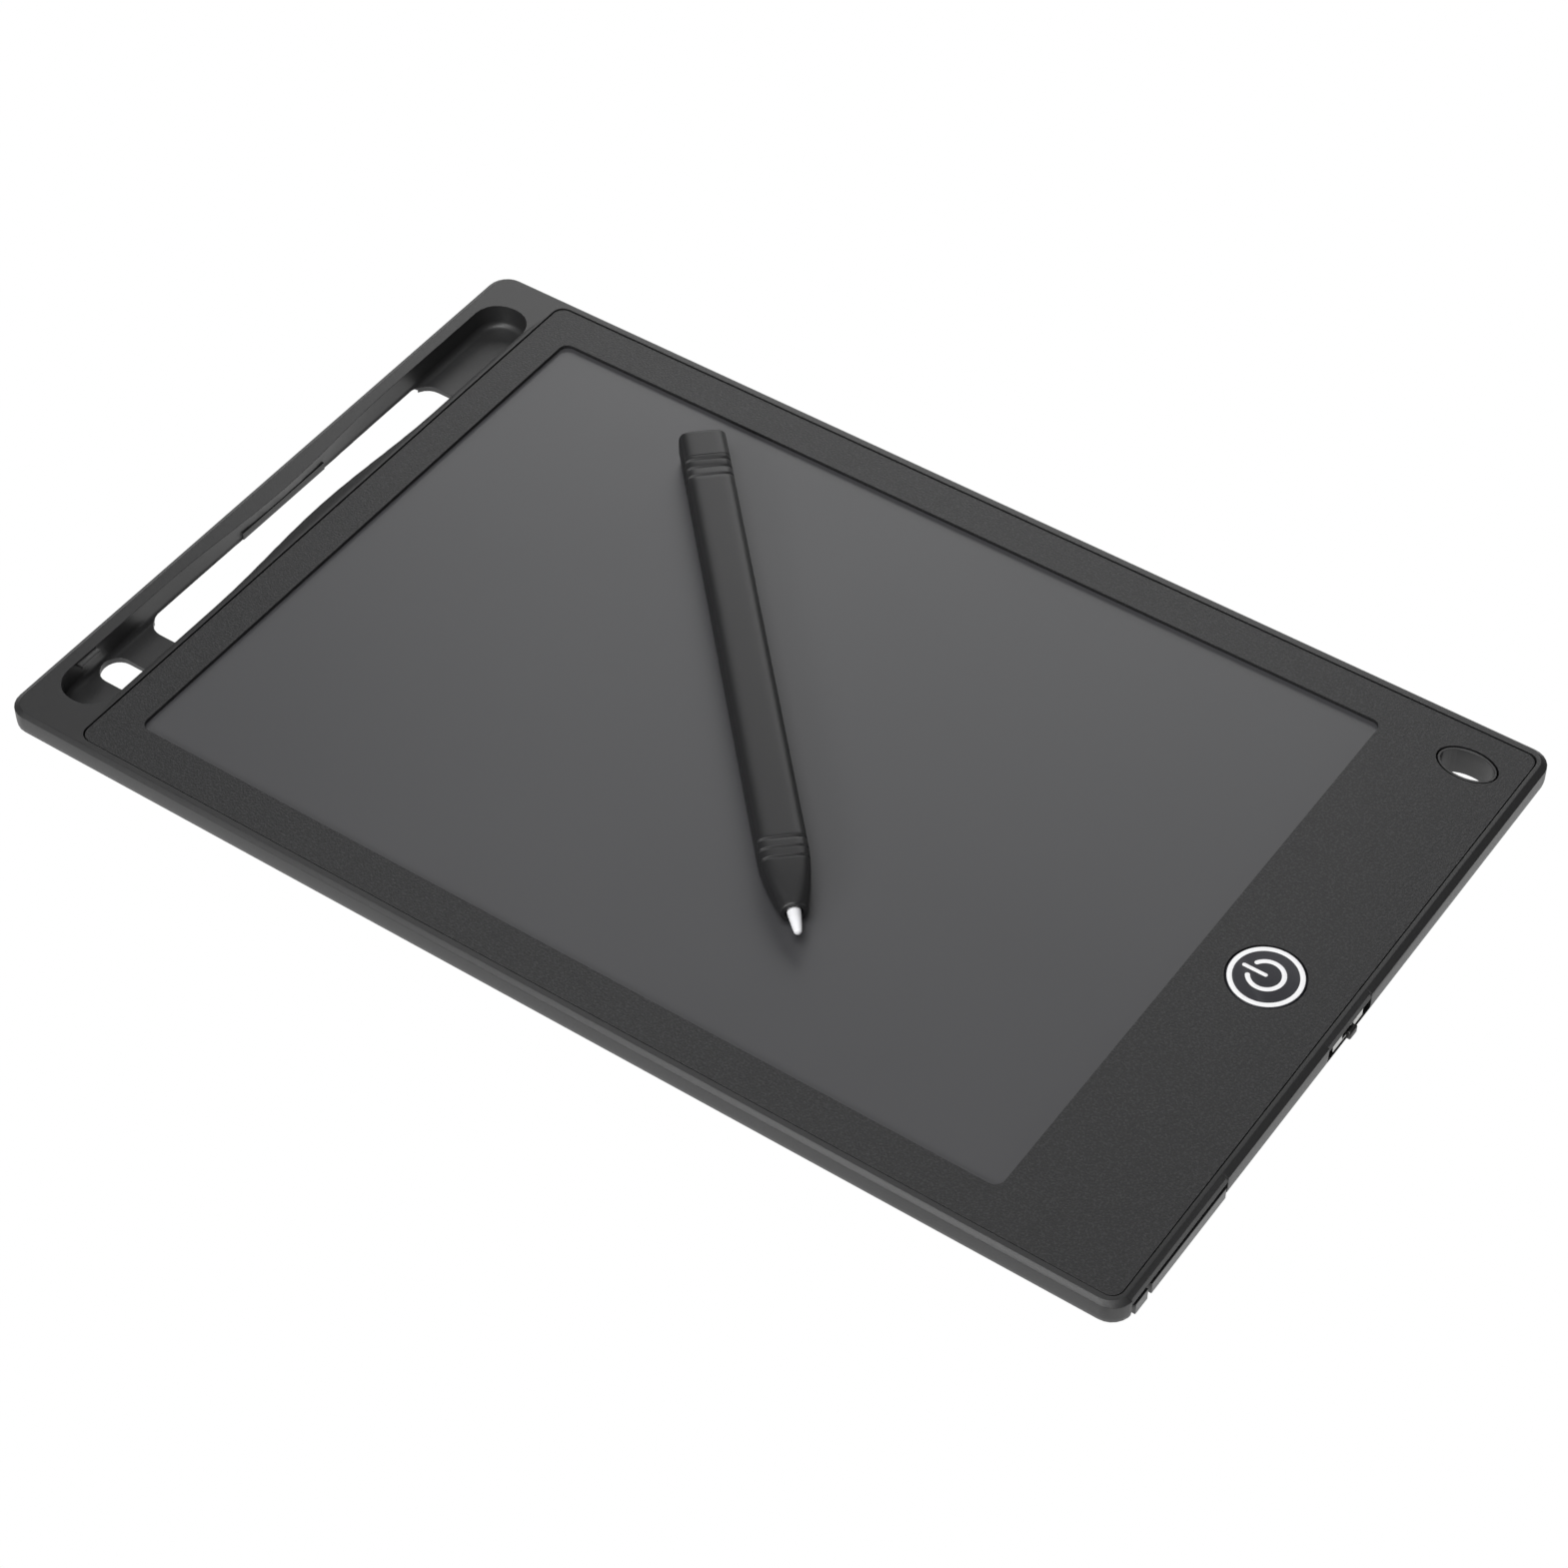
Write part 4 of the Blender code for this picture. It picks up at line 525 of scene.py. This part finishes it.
def makeBarrel(shape, look):
    # Each groove is a cosine dip, half a wave wide on either side, with points closer together in
    # it. At the nose the skin turns in over a rounded rim, down the bore and across its end.
    noseStart, noseStop = shape["noseEnd"], shape["noseEnd"] + shape["noseLength"]
    end = shape["capStart"] - look["capGap"]
    half = look["grooveWidth"] / 2
    grooves = np.array(look["grooves"])[:, None]
    along = np.unique(np.concatenate([
        np.linspace(noseStart, noseStop, look["noseSteps"]), np.linspace(noseStop, end, look["sideSteps"]),
        (grooves + np.linspace(-half, half, look["grooveSteps"])).ravel()]))
    share = np.clip(np.abs(along - grooves) / half, 0, 1)
    skin = stylusSkin(along, look["grooveDepth"] * ((1 + np.cos(math.pi * share)) / 2).sum(0), shape)
    bore = shape["noseRadius"] - look["boreRadius"]
    inset = np.array([look["boreRim"], bore, bore, bore, look["boreEndInset"]])
    front = stylusSkin(np.full(len(inset), noseStart), inset, shape)
    inward = (skin[1] - skin[0]).mean(0)
    inward *= mm / np.linalg.norm(inward)
    front[2] += inward * look["boreRim"]
    front[3:] += inward * look["nibRecess"]
    skin[0] += inward * look["boreRim"]
    back = stylusSkin(np.array([end, end]), np.array([look["backEdge"], look["backInset"]]), shape)
    points = np.concatenate([pole(front[-1]), front[::-1], skin, back, pole(back[1])])
    makePiece("stylus_barrel_skin", points, finishes["stylus"], "stylus", "stylus", "stylus_barrel")


cap = {
    "rounding": 1.15, "roundSteps": 11, "frontInset": 1.2, "frontEdge": 0.12, "edgeLength": 0.1,
    "sideFrom": 0.3, "sideTo": 0.1, "sideSteps": 6,
}


def makeCap(shape, look):
    # The cap keeps the barrel's section, and its blunt end has a quarter-round edge
    turn = np.linspace(0, math.pi / 2, look["roundSteps"])
    start, roundStart = shape["capStart"], shape["length"] - look["rounding"]
    along = np.concatenate([
        [start, start, start + look["edgeLength"]],
        np.linspace(start + look["sideFrom"], roundStart - look["sideTo"], look["sideSteps"]),
        roundStart + look["rounding"] * np.sin(turn)])[:, None]
    inset = np.concatenate([
        [look["frontInset"], look["frontEdge"], 0.0], np.zeros(look["sideSteps"]),
        look["rounding"] * (1 - np.cos(turn))])[:, None]
    angle = np.linspace(0, math.tau, shape["around"], endpoint=False)[None, :]
    across, up = superellipse(shape["squareness"], angle)
    points = placeStylus(along + 0 * angle, (shape["width"] / 2 - inset) * across,
                         (shape["height"] / 2 - inset) * up)
    points = np.concatenate([pole(points[0]), points, pole(points[-1])])
    makePiece("stylus_cap_skin", points, finishes["stylus"], "stylus", "stylus", "stylus_end_cap")


nib = {
    "pointLength": 0.55, "pointRadius": 0.70, "pointSteps": 9,
    # Distance from the tip and radius there
    "taper": ((1.2, 0.80), (2.2, 0.93), (3.2, 1.05), (4.2, 1.16), (4.8, 1.20), (6.0, 1.20)),
    "around": 48,
}


def makeNib(look):
    # A turned taper: an elliptic point, then radius against distance from the tip
    turn = np.linspace(0, math.pi / 2, look["pointSteps"])
    taper = np.array(look["taper"])
    along = np.concatenate([[0.0], look["pointLength"] * (1 - np.cos(turn)), taper[:, 0]])[:, None]
    radius = np.concatenate([[0.0], look["pointRadius"] * np.sin(turn), taper[:, 1]])[:, None]
    angle = np.linspace(0, math.tau, look["around"], endpoint=False)[None, :]
    points = placeStylus(along + 0 * angle, radius * np.cos(angle), radius * np.sin(angle))
    points = np.concatenate([points, pole(points[-1])])
    makePiece("stylus_nib_skin", points, finishes["nib"], "stylus", "nib", "stylus_nib")


makeBarrel(stylus, barrel)
makeCap(stylus, cap)
makeNib(nib)
print("stylus made")


# Stage, in metres: a pale grey floor that is plain white to the camera and in reflections, and
# soft boxes round the tablet, each turned towards its middle
stageLook = {"floorSize": 6.0, "floorBelow": 0.00005, "floorColour": "#EDEDED", "whiteStrength": 1.0,
             "worldStrength": 0.03}
softBoxes = [
    {"name": "overheadBox", "place": (-0.45, -0.02, 1.10), "size": (0.75, 0.75), "power": 10.5},
    {"name": "farRightBox", "place": (0.92, 0.47, 0.72), "size": (0.8, 0.40), "power": 3.35},
    {"name": "lowFarBox", "place": (1.10, 0.70, 0.45), "size": (1.0, 0.30), "power": 1.7},
    {"name": "leftBox", "place": (-0.95, -0.02, 0.48), "size": (0.5, 0.30), "power": 2.65},
    {"name": "farLeftBox", "place": (-0.95, 0.27, 0.58), "size": (0.4, 0.25), "power": 2.2},
    {"name": "nearRightBox", "place": (0.10, -1.05, 0.30), "size": (0.8, 0.25), "power": 1.0},
]


def makeStage(look):
    # The floor lies a hair below the tablet, so that the two don't share a plane
    corners = np.array([(-1, -1), (1, -1), (1, 1), (-1, 1)]) * look["floorSize"] / 2
    mesh = bpy.data.meshes.new("studioFloor")
    mesh.from_pydata([(x, y, -look["floorBelow"]) for x, y in corners], [], [(0, 1, 2, 3)])
    material = bpy.data.materials.new("paperWhiteFloor")
    tree = emptyTree(material)
    paper = addNode(tree, "ShaderNodeBsdfDiffuse", {"Color": linearColour(look["floorColour"])})
    white = addNode(tree, "ShaderNodeEmission", {"Strength": look["whiteStrength"]})
    path = addNode(tree, "ShaderNodeLightPath")
    seen = addNode(tree, "ShaderNodeMath", {
        0: path.outputs["Is Camera Ray"], 1: path.outputs["Is Glossy Ray"]}, operation="MAXIMUM")
    mixed = addNode(tree, "ShaderNodeMixShader", {
        0: seen.outputs[0], 1: paper.outputs[0], 2: white.outputs[0]})
    addNode(tree, "ShaderNodeOutputMaterial", {"Surface": mixed.outputs[0]})
    mesh.materials.append(material)
    addObject("studioFloor", mesh)


def makeWorld(look):
    # White to the camera, and a faint even fill for the tablet
    world = bpy.data.worlds.new("softStudio")
    bpy.context.scene.world = world
    tree = emptyTree(world)
    path = addNode(tree, "ShaderNodeLightPath")
    strength = addNode(tree, "ShaderNodeMapRange", {
        "Value": path.outputs["Is Camera Ray"],
        "To Min": look["worldStrength"], "To Max": look["whiteStrength"]})
    sky = addNode(tree, "ShaderNodeBackground", {
        "Color": linearColour("#FFFFFF"), "Strength": strength.outputs[0]})
    addNode(tree, "ShaderNodeOutputWorld", {"Surface": sky.outputs[0]})


def makeSoftBox(look):
    lamp = bpy.data.lights.new(look["name"], "AREA")
    lamp.shape = "RECTANGLE"
    lamp.size, lamp.size_y = look["size"]
    lamp.energy = look["power"]
    item = addObject(look["name"], lamp)
    item.location = look["place"]
    item.rotation_euler = (-Vector(look["place"])).to_track_quat("-Z", "Y").to_euler()


makeStage(stageLook)
makeWorld(stageLook)
for box in softBoxes:
    makeSoftBox(box)
bpy.context.scene.view_settings.view_transform = "Standard"
print("stage and lights made")
